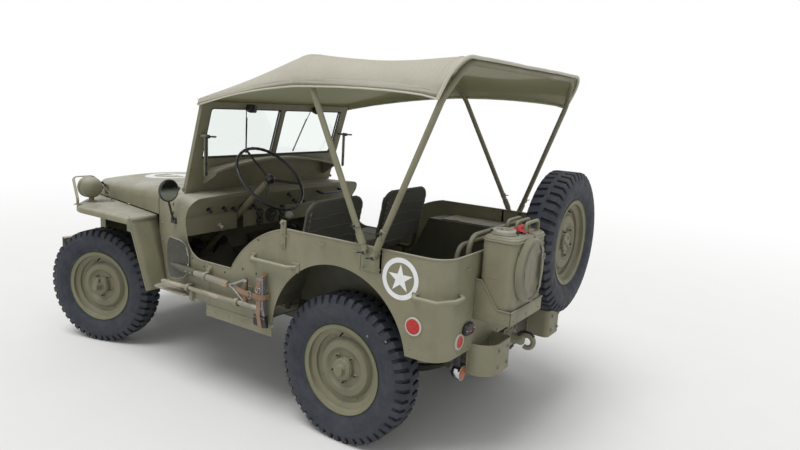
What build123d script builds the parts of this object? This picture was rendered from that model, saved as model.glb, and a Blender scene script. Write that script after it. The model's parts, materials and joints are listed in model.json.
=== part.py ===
from build123d import *
import os
from math import cos, radians, sin, tan

# Open quarter-ton 4x4 military car with a canvas top, in millimetres.
# Frame: +X forward, +Y to the car's left, +Z up, origin on the ground under the middle of the car.

# Stance and wheels
wheelbase = 2032
track = 1245
tyre_diameter = 732
tyre_width = 165
tread_width = 128
bead_radius = 206
rim_width = 128
rim_flange_radius = 222
front_axle_x = 1121
kingpin_inset = 100
parked_steer = 17
brake_drum_radius = 128
spindle_radius = 20
running_gap = 0.1

# Body shell
sheet = 4
body_half_width = 740
body_rear_x = -1480
rear_corner_radius = 100
cowl_front_x = 556
cowl_front_half = 600
taper_start_x = 130
cowl_base_z = 905
tub_top_z = 1008
sill_z = 519
rear_skirt_z = 562
floor_z = 535
rear_floor_z = 600
floor_step_x = -480
wheelhouse_half = 515
wheelhouse_top_z = 925
panel_gap = 6

# Hood, grille and fenders
hood_front_x = 1450
hood_front_half = 430
hood_front_z = 1000
cowl_shoulder_z = 1060
crown = 16
shoulder_radius = 70
fender_half_width = 787
fender_top_z = 893
fender_lip = 38
fender_rear_x = 592
grille_bottom_z = 560

# Chassis
rail_outer_y = 371
rail_width = 50
rail_height = 90
rail_low_z = 410
rail_front_z = 470
rail_rear_z = 440
axle_tube_radius = 38
diff_y = -190
diff_radius = 110
bumper_x = 1680
bumper_half = 570

# Windscreen and canvas top
screen_base_x = 288
screen_base_z = 1062
screen_rake = 16.4
screen_half = 626
screen_height = 538
screen_depth = 24
canopy_thickness = 8
bow_radius = 14
front_bow_pivot = (-1078, 993)
rear_bow_pivot = (-1128, 976)
canopy_top_z = 1832
bow_top_z = canopy_top_z - canopy_thickness - bow_radius - 0.5
front_bow_top = (-650, bow_top_z)
rear_bow_top = (-1443, bow_top_z)

# Steering
column_angle = 43
steering_wheel_x = -90
steering_wheel_y = 340
steering_wheel_z = 1170
steering_wheel_radius = 213
steering_rim_radius = 9

# Spare wheel and fuel can on the back
spare_x = -1580
spare_y = -275
spare_z = 968

# Values worked out from the sizes above
rear_axle_x = front_axle_x - wheelbase
axle_z = tyre_diameter / 2
wheel_y = track / 2
kingpin_y = wheel_y - kingpin_inset
rail_y = rail_outer_y - rail_width / 2
taper_slope = (body_half_width - cowl_front_half) / (cowl_front_x - taper_start_x)

os.makedirs("parts", exist_ok=True)


def block(x_low, x_high, y_low, y_high, z_low, z_high, mode=Mode.ADD):
    """A square-edged block between two values on each axis."""
    middle = ((x_low + x_high) / 2, (y_low + y_high) / 2, (z_low + z_high) / 2)
    with Locations(middle):
        Box(x_high - x_low, y_high - y_low, z_high - z_low, mode=mode)


def rod(start, end, radius, mode=Mode.ADD):
    """A round bar from one point to another."""
    along = Vector(*end) - Vector(*start)
    with Locations(Plane(origin=start, z_dir=along.normalized())):
        Cylinder(radius, along.length, align=(Align.CENTER, Align.CENTER, Align.MIN), mode=mode)


def side_face(points, y):
    """A closed outline in X and Z, in the plane at the given y, facing -Y."""
    with BuildSketch(Plane(origin=(0, y, 0), x_dir=(1, 0, 0), z_dir=(0, -1, 0))) as outline:
        with BuildLine():
            Polyline(*points, close=True)
        make_face()
    return outline.sketch


def plan_face(points, z):
    """A closed outline in X and Y, at the given height, facing up."""
    with BuildSketch(Plane.XY.offset(z)) as outline:
        with BuildLine():
            Polyline(*points, close=True)
        make_face()
    return outline.sketch


def bent_tube(points, bend, radius):
    """A round tube that follows straight runs joined by arcs of one radius."""
    with BuildPart() as tube:
        with BuildLine() as path:
            FilletPolyline(*points, radius=bend)
        with BuildSketch(Plane(origin=path.line @ 0, z_dir=path.line % 0)):
            Circle(radius)
        sweep(path=path.line)
    return tube.part


def tub_width(x):
    """Half-width of the tub's outer face, which narrows towards the hood."""
    return body_half_width - max(0, x - taper_start_x) * taper_slope


def tub_plan(inset):
    """The tub seen from above, inset from its outer faces and run on past the cowl."""
    reach_x = cowl_front_x + 200
    reach_half = tub_width(reach_x)
    with BuildSketch() as plan:
        with BuildLine():
            Polyline(
                (reach_x, reach_half),
                (taper_start_x, body_half_width),
                (body_rear_x, body_half_width),
                (body_rear_x, -body_half_width),
                (taper_start_x, -body_half_width),
                (reach_x, -reach_half),
                close=True,
            )
        make_face()
        fillet(plan.vertices().group_by(Axis.X)[0], radius=rear_corner_radius)
        if inset:
            offset(amount=-inset, kind=Kind.INTERSECTION, mode=Mode.REPLACE)
    return plan.sketch


def arched_section(x, half_width, bottom_z, shoulder_z, inset):
    """Section of the hood or cowl: upright sides, rounded shoulders and a crowned top."""
    half = half_width - inset
    top = shoulder_z - inset
    radius = shoulder_radius - inset
    with BuildSketch(Plane(origin=(x, 0, 0), x_dir=(0, 1, 0), z_dir=(1, 0, 0))) as section:
        with BuildLine():
            Line((-half, bottom_z), (half, bottom_z))
            Line((half, bottom_z), (half, top - radius))
            RadiusArc((half, top - radius), (half - radius, top), -radius)
            ThreePointArc((half - radius, top), (0, top + crown), (-half + radius, top))
            RadiusArc((-half + radius, top), (-half, top - radius), -radius)
            Line((-half, top - radius), (-half, bottom_z))
        make_face()
    return section.sketch


# Tyre: hollow section turned about the wheel's axis, made once about Z
tyre_radius = tyre_diameter / 2
with BuildPart() as tyre_form:
    with BuildSketch(Plane.XZ) as tyre_section:
        with BuildLine():
            Polyline((bead_radius, -44), (bead_radius, -54), (bead_radius + 18, -58))
            ThreePointArc((bead_radius + 18, -58), (290, -tyre_width / 2),
                          (tyre_radius - 16, -tread_width / 2 - 8))
            Line((tyre_radius - 16, -tread_width / 2 - 8), (tyre_radius, -tread_width / 2))
            Line((tyre_radius, -tread_width / 2), (tyre_radius, tread_width / 2))
            Line((tyre_radius, tread_width / 2), (tyre_radius - 16, tread_width / 2 + 8))
            ThreePointArc((tyre_radius - 16, tread_width / 2 + 8), (290, tyre_width / 2), (bead_radius + 18, 58))
            Polyline((bead_radius + 18, 58), (bead_radius, 54), (bead_radius, 44))
            ThreePointArc((bead_radius, 44), (282, tyre_width / 2 - 14), (tyre_radius - 34, 50))
            Line((tyre_radius - 34, 50), (tyre_radius - 34, -50))
            ThreePointArc((tyre_radius - 34, -50), (282, -tyre_width / 2 + 14), (bead_radius, -44))
        make_face()
    revolve(axis=Axis.Z)

# Steel wheel: drop-centre rim and pressed disc, made once about Z with +Z outward
rim_edge = rim_width / 2
rim_seat = bead_radius - 0.3
with BuildPart() as disc_wheel:
    with BuildSketch(Plane.XZ):
        with BuildLine():
            Polyline(
                (rim_flange_radius, -rim_edge), (rim_flange_radius, -rim_edge + 5), (rim_seat, -rim_edge + 9),
                (rim_seat, -38), (181, -26), (181, 26), (rim_seat, 38), (rim_seat, rim_edge - 9),
                (rim_flange_radius, rim_edge - 5), (rim_flange_radius, rim_edge), (rim_seat - 5, 59),
                (rim_seat - 5, 40), (175, 30), (175, -30), (rim_seat - 5, -40), (rim_seat - 5, -59),
                close=True,
            )
        make_face()
    revolve(axis=Axis.Z)
    with BuildSketch(Plane.XZ):
        with BuildLine():
            Polyline(
                (176, 8), (150, 4), (132, 26), (108, 32), (92, 18), (54, 18),
                (54, 24), (90, 24), (106, 38), (136, 32), (153, 11), (176, 16),
                close=True,
            )
        make_face()
    revolve(axis=Axis.Z)

# Hub and brake drum that turn with a road wheel
with BuildPart() as hub_form:
    with BuildSketch(Plane.XZ):
        with BuildLine():
            Polyline(
                (0, 16), (spindle_radius + running_gap, 16), (spindle_radius + running_gap, -40),
                (46, -40), (46, 0), (brake_drum_radius - 8, 0), (brake_drum_radius - 8, -46),
                (brake_drum_radius, -46), (brake_drum_radius, 8), (72, 8), (72, 18), (53.9, 18),
                (53.9, 40), (50, 54), (26, 58), (24, 80), (0, 80),
                close=True,
            )
        make_face()
    revolve(axis=Axis.Z)

# Where each wheel stands: centre, and the heading of its outer side in degrees from +X
steer = radians(parked_steer)
wheel_places = {
    # name: (x, y, z, heading, has a hub)
    "front_left": (front_axle_x - kingpin_inset * sin(steer), kingpin_y + kingpin_inset * cos(steer),
                   axle_z, 90 + parked_steer, True),
    "front_right": (front_axle_x + kingpin_inset * sin(steer), -kingpin_y - kingpin_inset * cos(steer),
                    axle_z, -90 + parked_steer, True),
    "rear_left": (rear_axle_x, wheel_y, axle_z, 90, True),
    "rear_right": (rear_axle_x, -wheel_y, axle_z, -90, True),
    "spare": (spare_x, spare_y, spare_z, 180, False),
}
for place, (x, y, z, heading, has_hub) in wheel_places.items():
    outward = (cos(radians(heading)), sin(radians(heading)), 0)
    wheel_plane = Plane(origin=(x, y, z), x_dir=(0, 0, 1), z_dir=outward)
    with BuildPart() as tyre:
        with Locations(wheel_plane):
            add(tyre_form.part)
    tyre.part.label = f"tyre_{place}"
    export_step(tyre.part, f"parts/tyre_{place}.step")
    with BuildPart() as wheel:
        with Locations(wheel_plane):
            add(disc_wheel.part)
            if has_hub:
                add(hub_form.part)
    wheel.part.label = f"wheel_{place}"
    export_step(wheel.part, f"parts/wheel_{place}.step")

# Steering knuckles: cup round the axle's ball, spindle, backing plate and steering arm
ball_radius = 44
cup_radius = 58
plate_outward = 44
arm_length = 150
arm_z = axle_z + 26
with BuildPart() as cup_form:
    with BuildSketch(Plane.XZ):
        with BuildLine():
            lip = -8
            bore = ball_radius + 0.5
            face = plate_outward + 4
            ThreePointArc(((bore**2 - lip**2) ** 0.5, lip), (bore * cos(radians(40)), bore * sin(radians(40))),
                          (0, bore))
            Polyline((0, bore), (0, face), ((cup_radius**2 - face**2) ** 0.5, face))
            ThreePointArc(((cup_radius**2 - face**2) ** 0.5, face),
                          (cup_radius * cos(radians(30)), cup_radius * sin(radians(30))),
                          ((cup_radius**2 - lip**2) ** 0.5, lip))
            Line(((cup_radius**2 - lip**2) ** 0.5, lip), ((bore**2 - lip**2) ** 0.5, lip))
        make_face()
    revolve(axis=Axis.Z)
    with BuildSketch(Plane.XY.offset(plate_outward)):
        Circle(brake_drum_radius + 6)
        Circle(20, mode=Mode.SUBTRACT)
    extrude(amount=6)
    with BuildSketch(Plane.XY.offset(face)):
        Circle(spindle_radius)
    extrude(amount=kingpin_inset + 12 - face)
for side, sign in (("left", 1), ("right", -1)):
    heading = radians(sign * 90 + parked_steer)
    outward = Vector(cos(heading), sin(heading), 0)
    forward = Vector(cos(steer), sin(steer), 0)
    centre = Vector(front_axle_x, sign * kingpin_y, axle_z)
    with BuildPart() as knuckle:
        with Locations(Plane(origin=centre, x_dir=(0, 0, 1), z_dir=outward)):
            add(cup_form.part)
        for up in (1, -1):
            rod(centre + Vector(0, 0, up * (ball_radius + 6)), centre + Vector(0, 0, up * 84), 20)
        with Locations(Plane(origin=centre + forward * (arm_length + 48) / 2 + Vector(0, 0, arm_z - axle_z),
                             x_dir=forward, z_dir=(0, 0, 1))):
            Box(arm_length - 48, 30, 18)
        with Locations(centre + forward * arm_length + Vector(0, 0, arm_z - axle_z)):
            Cylinder(18, 18)
    knuckle.part.label = f"knuckle_{side}"
    export_step(knuckle.part, f"parts/knuckle_{side}.step")

# Tie rod between the two steering arms, on top of them
arm_tip_x = front_axle_x + arm_length * cos(steer)
arm_tip_y = kingpin_y + arm_length * sin(steer)
right_tip_y = -kingpin_y + arm_length * sin(steer)
rod_end_z = arm_z + 9.3
tie_rod_z = rod_end_z + 16
with BuildPart() as tie_rod:
    rod((arm_tip_x, arm_tip_y, rod_end_z), (arm_tip_x, arm_tip_y, rod_end_z + 34), 16)
    rod((arm_tip_x, right_tip_y, rod_end_z), (arm_tip_x, right_tip_y, rod_end_z + 34), 16)
    rod((arm_tip_x, arm_tip_y, tie_rod_z), (arm_tip_x, right_tip_y, tie_rod_z), 12)
tie_rod.part.label = "tie_rod"
export_step(tie_rod.part, "parts/tie_rod.step")

nose_length = 190
# Axles: tubes with a differential case to the right, ball ends in front, backing plates behind
with BuildPart() as axles:
    for axle_x, nose in ((front_axle_x, -1), (rear_axle_x, 1)):
        end_y = kingpin_y - 62 if axle_x == front_axle_x else wheel_y - 64
        rod((axle_x, -end_y, axle_z), (axle_x, end_y, axle_z), axle_tube_radius)
        with Locations((axle_x, diff_y, axle_z)):
            Sphere(diff_radius)
        rod((axle_x, diff_y, axle_z), (axle_x + nose * nose_length, diff_y, axle_z), 40)
    for sign in (1, -1):
        rod((front_axle_x, sign * (kingpin_y - 62), axle_z), (front_axle_x, sign * (kingpin_y - 30), axle_z), 28)
        with Locations((front_axle_x, sign * kingpin_y, axle_z)):
            Sphere(ball_radius)
        plate_y = sign * (wheel_y - 50)
        rod((rear_axle_x, plate_y - sign * 14, axle_z), (rear_axle_x, plate_y, axle_z), brake_drum_radius + 6)
        rod((rear_axle_x, plate_y, axle_z), (rear_axle_x, sign * (wheel_y + 12), axle_z), spindle_radius)
axles.part.label = "axles"
export_step(axles.part, "parts/axles.step")

# Leaf springs under the axles, each a bowed pack with an axle clamp
spring_half_width = 22
spring_half_length = 400
spring_sag = 110
pack_top = axle_z - axle_tube_radius - 1
with BuildPart() as leaf_springs:
    for axle_x, eye_z in ((front_axle_x, rail_front_z), (rear_axle_x, rail_rear_z)):
        for sign in (1, -1):
            with BuildSketch(Plane(origin=(0, sign * rail_y + spring_half_width, 0),
                                   x_dir=(1, 0, 0), z_dir=(0, -1, 0))):
                with BuildLine():
                    low = pack_top - 40
                    rise = eye_z - 40
                    ThreePointArc((axle_x - spring_half_length, rise), (axle_x, low),
                                  (axle_x + spring_half_length, rise))
                    Line((axle_x + spring_half_length, rise), (axle_x + spring_half_length, rise + 10))
                    ThreePointArc((axle_x + spring_half_length, rise + 10), (axle_x, pack_top),
                                  (axle_x - spring_half_length, rise + 10))
                    Line((axle_x - spring_half_length, rise + 10), (axle_x - spring_half_length, rise))
                make_face()
            extrude(amount=2 * spring_half_width)
            for end in (1, -1):
                eye_x = axle_x + end * (spring_half_length + 4)
                rod((eye_x, sign * rail_y - 22, rise + 8), (eye_x, sign * rail_y + 22, rise + 8), 16)
                block(eye_x - 10, eye_x + 10, sign * rail_y - 22, sign * rail_y + 22, rise + 8, eye_z)
            block(axle_x - 50, axle_x + 50, sign * rail_y - 22, sign * rail_y + 22, pack_top - 4, pack_top + 0.9)
leaf_springs.part.label = "leaf_springs"
export_step(leaf_springs.part, "parts/leaf_springs.step")

# Ladder frame: two box rails, cross members and body mounts
rail_points = [
    (1600, rail_front_z), (700, rail_front_z), (570, rail_low_z), (-330, rail_low_z), (-480, rail_rear_z),
    (-1460, rail_rear_z), (-1460, rail_rear_z + rail_height), (-480, rail_rear_z + rail_height),
    (-330, rail_low_z + rail_height), (570, rail_low_z + rail_height), (700, rail_front_z + rail_height),
    (1600, rail_front_z + rail_height),
]
rail_inner_y = rail_outer_y - rail_width
cross_members = [
    # (x low, x high, z low, z high)
    (1530, 1590, rail_front_z + 10, rail_front_z + 80),
    (1330, 1400, rail_front_z + 20, rail_front_z + rail_height),
    (922, 962, rail_front_z + 2, rail_front_z + 29),
    (60, 160, rail_low_z + 5, rail_low_z + 35),
    (-560, -500, rail_rear_z + 10, rail_rear_z + 80),
    (-1460, -1400, rail_rear_z, rail_rear_z + rail_height),
]
with BuildPart() as chassis_frame:
    for sign in (1, -1):
        face_y = rail_outer_y if sign == 1 else -rail_inner_y
        extrude(side_face(rail_points, face_y), amount=rail_width)
    for x_low, x_high, z_low, z_high in cross_members:
        block(x_low, x_high, -rail_inner_y, rail_inner_y, z_low, z_high)
    for sign in (1, -1):
        for mount_x, mount_z, floor_under in ((300, rail_low_z, floor_z), (-200, rail_low_z, floor_z),
                                              (-800, rail_rear_z, rear_floor_z), (-1350, rail_rear_z, rear_floor_z)):
            block(mount_x - 35, mount_x + 35, sign * rail_y - 20, sign * rail_y + 20,
                  mount_z + rail_height, floor_under - sheet)
chassis_frame.part.label = "chassis_frame"
export_step(chassis_frame.part, "parts/chassis_frame.step")

# Front bumper: channel bolted to the ends of the rails
bumper_low_z = 445
bumper_high_z = 575
with BuildPart() as front_bumper:
    block(bumper_x - 45, bumper_x, -bumper_half, bumper_half, bumper_low_z, bumper_high_z)
    block(bumper_x - 45, bumper_x - 8, -bumper_half, bumper_half, bumper_low_z + 8, bumper_high_z - 8,
          mode=Mode.SUBTRACT)
    for sign in (1, -1):
        block(1600, bumper_x - 8, sign * rail_y - 25, sign * rail_y + 25, rail_front_z + 5, rail_front_z + 85)
front_bumper.part.label = "front_bumper"
export_step(front_bumper.part, "parts/front_bumper.step")

# Engine with its mounting arms, and the radiator on its cross member
with BuildPart() as engine:
    block(660, 1180, -150, 150, 560, 900)
    block(700, 1140, -90, 90, 500, 560)
    for sign in (1, -1):
        block(1100, 1160, min(sign * 150, sign * rail_inner_y), max(sign * 150, sign * rail_inner_y), 520, 560)
    block(1335, 1395, -235, 235, rail_front_z + rail_height, 960)
engine.part.label = "engine"
export_step(engine.part, "parts/engine.step")

# Driveline: gearbox, transfer case to the right and two propeller shafts
case_x = 60
with BuildPart() as driveline:
    block(160, 660, -80, 80, 450, 600)
    block(-60, 160, -260, 80, rail_low_z + 35, 530)
    rod((-60, diff_y, 470), (rear_axle_x + nose_length - 5, diff_y, axle_z), 24)
    rod((160, diff_y, 470), (front_axle_x - nose_length + 5, diff_y, axle_z), 24)
    add(axles.part, mode=Mode.SUBTRACT)
driveline.part.label = "driveline"
export_step(driveline.part, "parts/driveline.step")

# Exhaust: pipe and silencer under the right side
with BuildPart() as exhaust:
    add(bent_tube([(900, -200, 600), (900, -270, 600), (860, -290, 440), (600, -290, 385), (-100, -440, 385)], 30, 18))
    rod((-100, -440, 385), (-500, -440, 385), 62)
    rod((-500, -440, 385), (-620, -440, 400), 18)
    for hang_x in (-180, -430):
        block(hang_x - 15, hang_x + 15, -446, -434, 440, floor_z - sheet)
exhaust.part.label = "exhaust"
export_step(exhaust.part, "parts/exhaust.step")

# Hood: pressed sheet that lifts at the front about the cowl's edge
hood_rear_x = cowl_front_x + panel_gap
hinge_x = cowl_front_x + panel_gap / 2
hinge_z = cowl_shoulder_z + crown + 6
hinge_radius = 5
hinge_pin = 2
hood_base_z = cowl_base_z - 4
with BuildPart() as hood:
    loft([arched_section(hood_rear_x, cowl_front_half, hood_base_z, cowl_shoulder_z, 0).face(),
          arched_section(hood_front_x, hood_front_half, hood_base_z, hood_front_z, 0).face()], ruled=True)
    loft([arched_section(hood_rear_x - 1, cowl_front_half, hood_base_z - 1, cowl_shoulder_z, sheet).face(),
          arched_section(hood_front_x + 1, hood_front_half, hood_base_z - 1, hood_front_z, sheet).face()],
         ruled=True, mode=Mode.SUBTRACT)
    block(hinge_x + 2, hinge_x + 30, -80, 80, hinge_z - 9, hinge_z)
    rod((hinge_x, -80, hinge_z), (hinge_x, 80, hinge_z), hinge_radius)
    rod((hinge_x, -90, hinge_z), (hinge_x, 90, hinge_z), hinge_pin + running_gap, mode=Mode.SUBTRACT)
hood.part.label = "hood"
export_step(hood.part, "parts/hood.step")

# Grille: flanged plate with nine slots and two lamp openings
grille_back_x = 1395
grille_face_x = 1455
grille_half = hood_front_half - sheet - panel_gap
grille_top = hood_front_z - sheet - panel_gap
slot_pitch = 50
slot_width = 30
lamp_y = 322
lamp_z = 815
lamp_opening = 82
with BuildPart() as grille:
    extrude(arched_section(grille_back_x, grille_half, grille_bottom_z, grille_top, 0),
            amount=grille_face_x - grille_back_x)
    extrude(arched_section(grille_back_x - 1, grille_half, grille_bottom_z - 1, grille_top, sheet),
            amount=grille_face_x - grille_back_x + 1 - sheet, mode=Mode.SUBTRACT)
    for slot in range(-4, 5):
        middle = slot * slot_pitch
        block(grille_face_x - 9, grille_face_x + 1, middle - slot_width / 2, middle + slot_width / 2,
              610, 900, mode=Mode.SUBTRACT)
    for sign in (1, -1):
        rod((grille_face_x - 9, sign * lamp_y, lamp_z), (grille_face_x + 1, sign * lamp_y, lamp_z),
            lamp_opening, mode=Mode.SUBTRACT)
grille.part.label = "grille"
export_step(grille.part, "parts/grille.step")

# Fenders: flat tops with a deep lip, and a skirt that slopes back to the tub's side
fender_tip_x = 1450
fender_corner_x = 1150
tip_half = hood_front_half + 45
skirt_foot = (426, 493)
with BuildPart() as tub_volume:
    extrude(tub_plan(0), amount=1200)
with BuildPart() as fenders:
    for sign in (1, -1):
        edge = fender_half_width
        outer = [(fender_tip_x, sign * grille_half), (fender_tip_x, sign * tip_half), (fender_corner_x, sign * edge),
                 (fender_rear_x, sign * edge), (fender_rear_x, sign * (cowl_front_half - 20)),
                 (grille_back_x, sign * grille_half)]
        inner = [(fender_tip_x - sheet, sign * 300), (fender_tip_x - sheet, sign * (tip_half - 2)),
                 (fender_corner_x - 2, sign * (edge - sheet)), (fender_rear_x - 50, sign * (edge - sheet)),
                 (fender_rear_x - 50, sign * 300)]
        extrude(plan_face(outer, fender_top_z - fender_lip), amount=fender_lip)
        extrude(plan_face(inner, fender_top_z - fender_lip - 1), amount=fender_lip + 1 - sheet, mode=Mode.SUBTRACT)
    skirt = [(fender_rear_x + 5, fender_top_z - sheet), (fender_rear_x, fender_top_z - sheet), skirt_foot,
             (skirt_foot[0] + 5, skirt_foot[1])]
    for sign in (1, -1):
        face_y = fender_half_width if sign == 1 else -500
        extrude(side_face(skirt, face_y), amount=fender_half_width - 500)
    add(tub_volume.part, mode=Mode.SUBTRACT)
fenders.part.label = "fenders"
export_step(fenders.part, "parts/fenders.step")

# Tub sides: one bent sheet a side, cut to the outline with the door opening and wheel arch
arch_x = rear_axle_x + 1
arch_z = 490
arch_radius = 398
well_z = 446
well_front_x = -27
with BuildSketch(Plane(origin=(0, 900, 0), x_dir=(1, 0, 0), z_dir=(0, -1, 0))) as side_outline:
    with BuildLine():
        Polyline((cowl_front_x, sill_z), (cowl_front_x, cowl_base_z), (150, cowl_base_z), (133, 840))
        ThreePointArc((133, 840), (92, 775), (0, 742))
        Line((0, 742), (-215, 742))
        ThreePointArc((-215, 742), (-345, 893), (-600, tub_top_z))
        Polyline((-600, tub_top_z), (body_rear_x - 1, tub_top_z), (body_rear_x - 1, rear_skirt_z),
                 (arch_x - 391, rear_skirt_z))
        ThreePointArc((arch_x - 391, rear_skirt_z), (arch_x, arch_z + arch_radius), (arch_x + arch_radius, arch_z))
        Polyline((arch_x + arch_radius, arch_z), (arch_x + arch_radius, well_z), (well_front_x, well_z),
                 (well_front_x, sill_z), (cowl_front_x, sill_z))
    make_face()
rear_flat = body_half_width - rear_corner_radius
with BuildPart() as tub_shell:
    extrude(tub_plan(0), amount=1200)
    extrude(tub_plan(sheet), amount=1200, mode=Mode.SUBTRACT)
    extrude(side_outline.sketch, amount=1800, mode=Mode.INTERSECT)
    block(body_rear_x - 1, body_rear_x + 50, -rear_flat, rear_flat, 0, 1300, mode=Mode.SUBTRACT)
door_front_x = 66
door_rear_x = -215
side_panels = []
for x_low, x_high in ((-1600, door_rear_x), (door_rear_x, door_front_x), (door_front_x, 700)):
    with BuildPart() as side_panel:
        add(tub_shell.part)
        block(x_low, x_high, -900, 900, 0, 1300, mode=Mode.INTERSECT)
    side_panels += side_panel.part.solids()
tub_sides = Compound(side_panels)
tub_sides.label = "tub_sides"
export_step(tub_sides, "parts/tub_sides.step")

with BuildPart() as tub_rear_panel:
    block(body_rear_x, body_rear_x + sheet, -rear_flat, rear_flat, rear_skirt_z, tub_top_z)
tub_rear_panel.part.label = "tub_rear_panel"
export_step(tub_rear_panel.part, "parts/tub_rear_panel.step")

# Floor: front pan with tunnel and toe board, step, rear floor and wheelhouses
tunnel_half = 95
tunnel_top_z = 615
column_dir = Vector(cos(radians(column_angle)), 0, -sin(radians(column_angle)))
wheel_hub = Vector(steering_wheel_x, steering_wheel_y, steering_wheel_z)
inner_rear_x = body_rear_x + sheet
with BuildPart() as tub_floor:
    with BuildSketch(Plane.XY.offset(floor_z - sheet)):
        add(tub_plan(sheet))
    extrude(amount=rear_floor_z - floor_z + sheet)
    block(floor_step_x - sheet, cowl_front_x + 300, -900, 900, floor_z, rear_floor_z + 1, mode=Mode.SUBTRACT)
    block(body_rear_x, floor_step_x - sheet, -900, 900, floor_z - sheet - 1, rear_floor_z - sheet,
          mode=Mode.SUBTRACT)
    block(cowl_front_x - sheet, cowl_front_x + 300, -900, 900, 400, 700, mode=Mode.SUBTRACT)
    block(floor_step_x - sheet, floor_step_x, -wheelhouse_half, wheelhouse_half, floor_z, rear_floor_z)
    block(120, cowl_front_x - sheet, -tunnel_half, tunnel_half, floor_z - sheet, tunnel_top_z)
    block(124, cowl_front_x, -tunnel_half + sheet, tunnel_half - sheet, 500, tunnel_top_z - sheet,
          mode=Mode.SUBTRACT)
    toe = [(400, floor_z), (cowl_front_x - sheet, 690), (cowl_front_x - sheet, 684), (406, floor_z)]
    for y_low, y_high in ((tunnel_half, 640), (-640, -tunnel_half)):
        extrude(side_face(toe, y_high), amount=y_high - y_low)
    with BuildSketch() as floor_limit:
        add(tub_plan(sheet))
    extrude(floor_limit.sketch, amount=1200, mode=Mode.INTERSECT)
    house_outer = [(-500, rear_floor_z - sheet), (-500, 640), (-640, wheelhouse_top_z),
                   (inner_rear_x, wheelhouse_top_z), (inner_rear_x, rear_floor_z - sheet)]
    house_inner = [(-505, rear_floor_z - sheet - 5), (-505, 639), (-643, wheelhouse_top_z - sheet),
                   (inner_rear_x + sheet, wheelhouse_top_z - sheet), (inner_rear_x + sheet, rear_floor_z - sheet - 5)]
    inner_side = body_half_width - sheet
    with BuildPart(mode=Mode.PRIVATE) as houses:
        for y_low, y_high in ((wheelhouse_half, inner_side), (-inner_side, -wheelhouse_half)):
            extrude(side_face(house_outer, y_high), amount=y_high - y_low)
        extrude(floor_limit.sketch, amount=1200, mode=Mode.INTERSECT)
    add(houses.part)
    for y_low, y_high in ((wheelhouse_half + sheet, inner_side), (-inner_side, -wheelhouse_half - sheet)):
        extrude(side_face(house_inner, y_high), amount=y_high - y_low, mode=Mode.SUBTRACT)
    rod(wheel_hub + column_dir * 500, wheel_hub + column_dir * 1000, 26, mode=Mode.SUBTRACT)
tub_floor.part.label = "tub_floor"
export_step(tub_floor.part, "parts/tub_floor.step")

# Cowl: arched top and shoulders, firewall and instrument panel
dash_low_z = 850
cowl_rear_x = 97
firewall_half = cowl_front_half - sheet - 1
with BuildPart() as cowl_space:
    loft([arched_section(cowl_front_x - sheet, cowl_front_half, cowl_base_z, cowl_shoulder_z, sheet).face(),
          arched_section(taper_start_x, body_half_width, cowl_base_z, cowl_shoulder_z, sheet).face()], ruled=True)
    extrude(arched_section(cowl_rear_x - 60, body_half_width, cowl_base_z, cowl_shoulder_z, sheet),
            amount=taper_start_x - cowl_rear_x + 60)
    with BuildSketch(Plane.XY.offset(500)):
        add(tub_plan(sheet))
    extrude(amount=cowl_base_z - 500)
with BuildPart() as cowl_volume:
    loft([arched_section(cowl_front_x, cowl_front_half, cowl_base_z, cowl_shoulder_z, 0).face(),
          arched_section(taper_start_x, body_half_width, cowl_base_z, cowl_shoulder_z, 0).face()], ruled=True)
    extrude(arched_section(cowl_rear_x, body_half_width, cowl_base_z, cowl_shoulder_z, 0),
            amount=taper_start_x - cowl_rear_x)
with BuildPart() as cowl:
    add(cowl_volume.part)
    add(cowl_space.part, mode=Mode.SUBTRACT)
    door_edge = [(cowl_rear_x - 1, 1054), (150, 950), (150, cowl_base_z - 1), (cowl_rear_x - 1, cowl_base_z - 1)]
    extrude(side_face(door_edge, 900), amount=1800, mode=Mode.SUBTRACT)
    with BuildPart(mode=Mode.PRIVATE) as panels:
        dash = [(cowl_rear_x + 3, 1058 + crown + 20), (cowl_rear_x + 3, 1050), (154, 948), (150, dash_low_z),
                (154, dash_low_z), (158, 949), (cowl_rear_x + 7, 1051), (cowl_rear_x + 7, 1058 + crown + 20)]
        extrude(side_face(dash, 900), amount=1800)
        block(cowl_front_x - sheet, cowl_front_x, -900, 900, floor_z - sheet, 1200)
        add(cowl_space.part, mode=Mode.INTERSECT)
    add(panels.part)
    for y_low, y_high in ((85, 240), (-240, -85)):
        block(hinge_x - 30, hinge_x - 2, y_low, y_high, hinge_z - 11, hinge_z)
        rod((hinge_x, y_low, hinge_z), (hinge_x, y_high, hinge_z), hinge_radius)
    rod((hinge_x, -240, hinge_z), (hinge_x, 240, hinge_z), hinge_pin)
    block(cowl_front_x - sheet, cowl_front_x, -firewall_half, firewall_half, floor_z - sheet, 1040)
    block(cowl_front_x - 10, cowl_front_x + 10, -tunnel_half + sheet, tunnel_half - sheet, 500, tunnel_top_z - sheet,
          mode=Mode.SUBTRACT)
    rod(wheel_hub + column_dir * 200, wheel_hub + column_dir * 1100, 26, mode=Mode.SUBTRACT)
    block(140, 162, steering_wheel_y - 26, steering_wheel_y + 26, dash_low_z - 1, 945, mode=Mode.SUBTRACT)
cowl.part.label = "cowl"
export_step(cowl.part, "parts/cowl.step")

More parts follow.
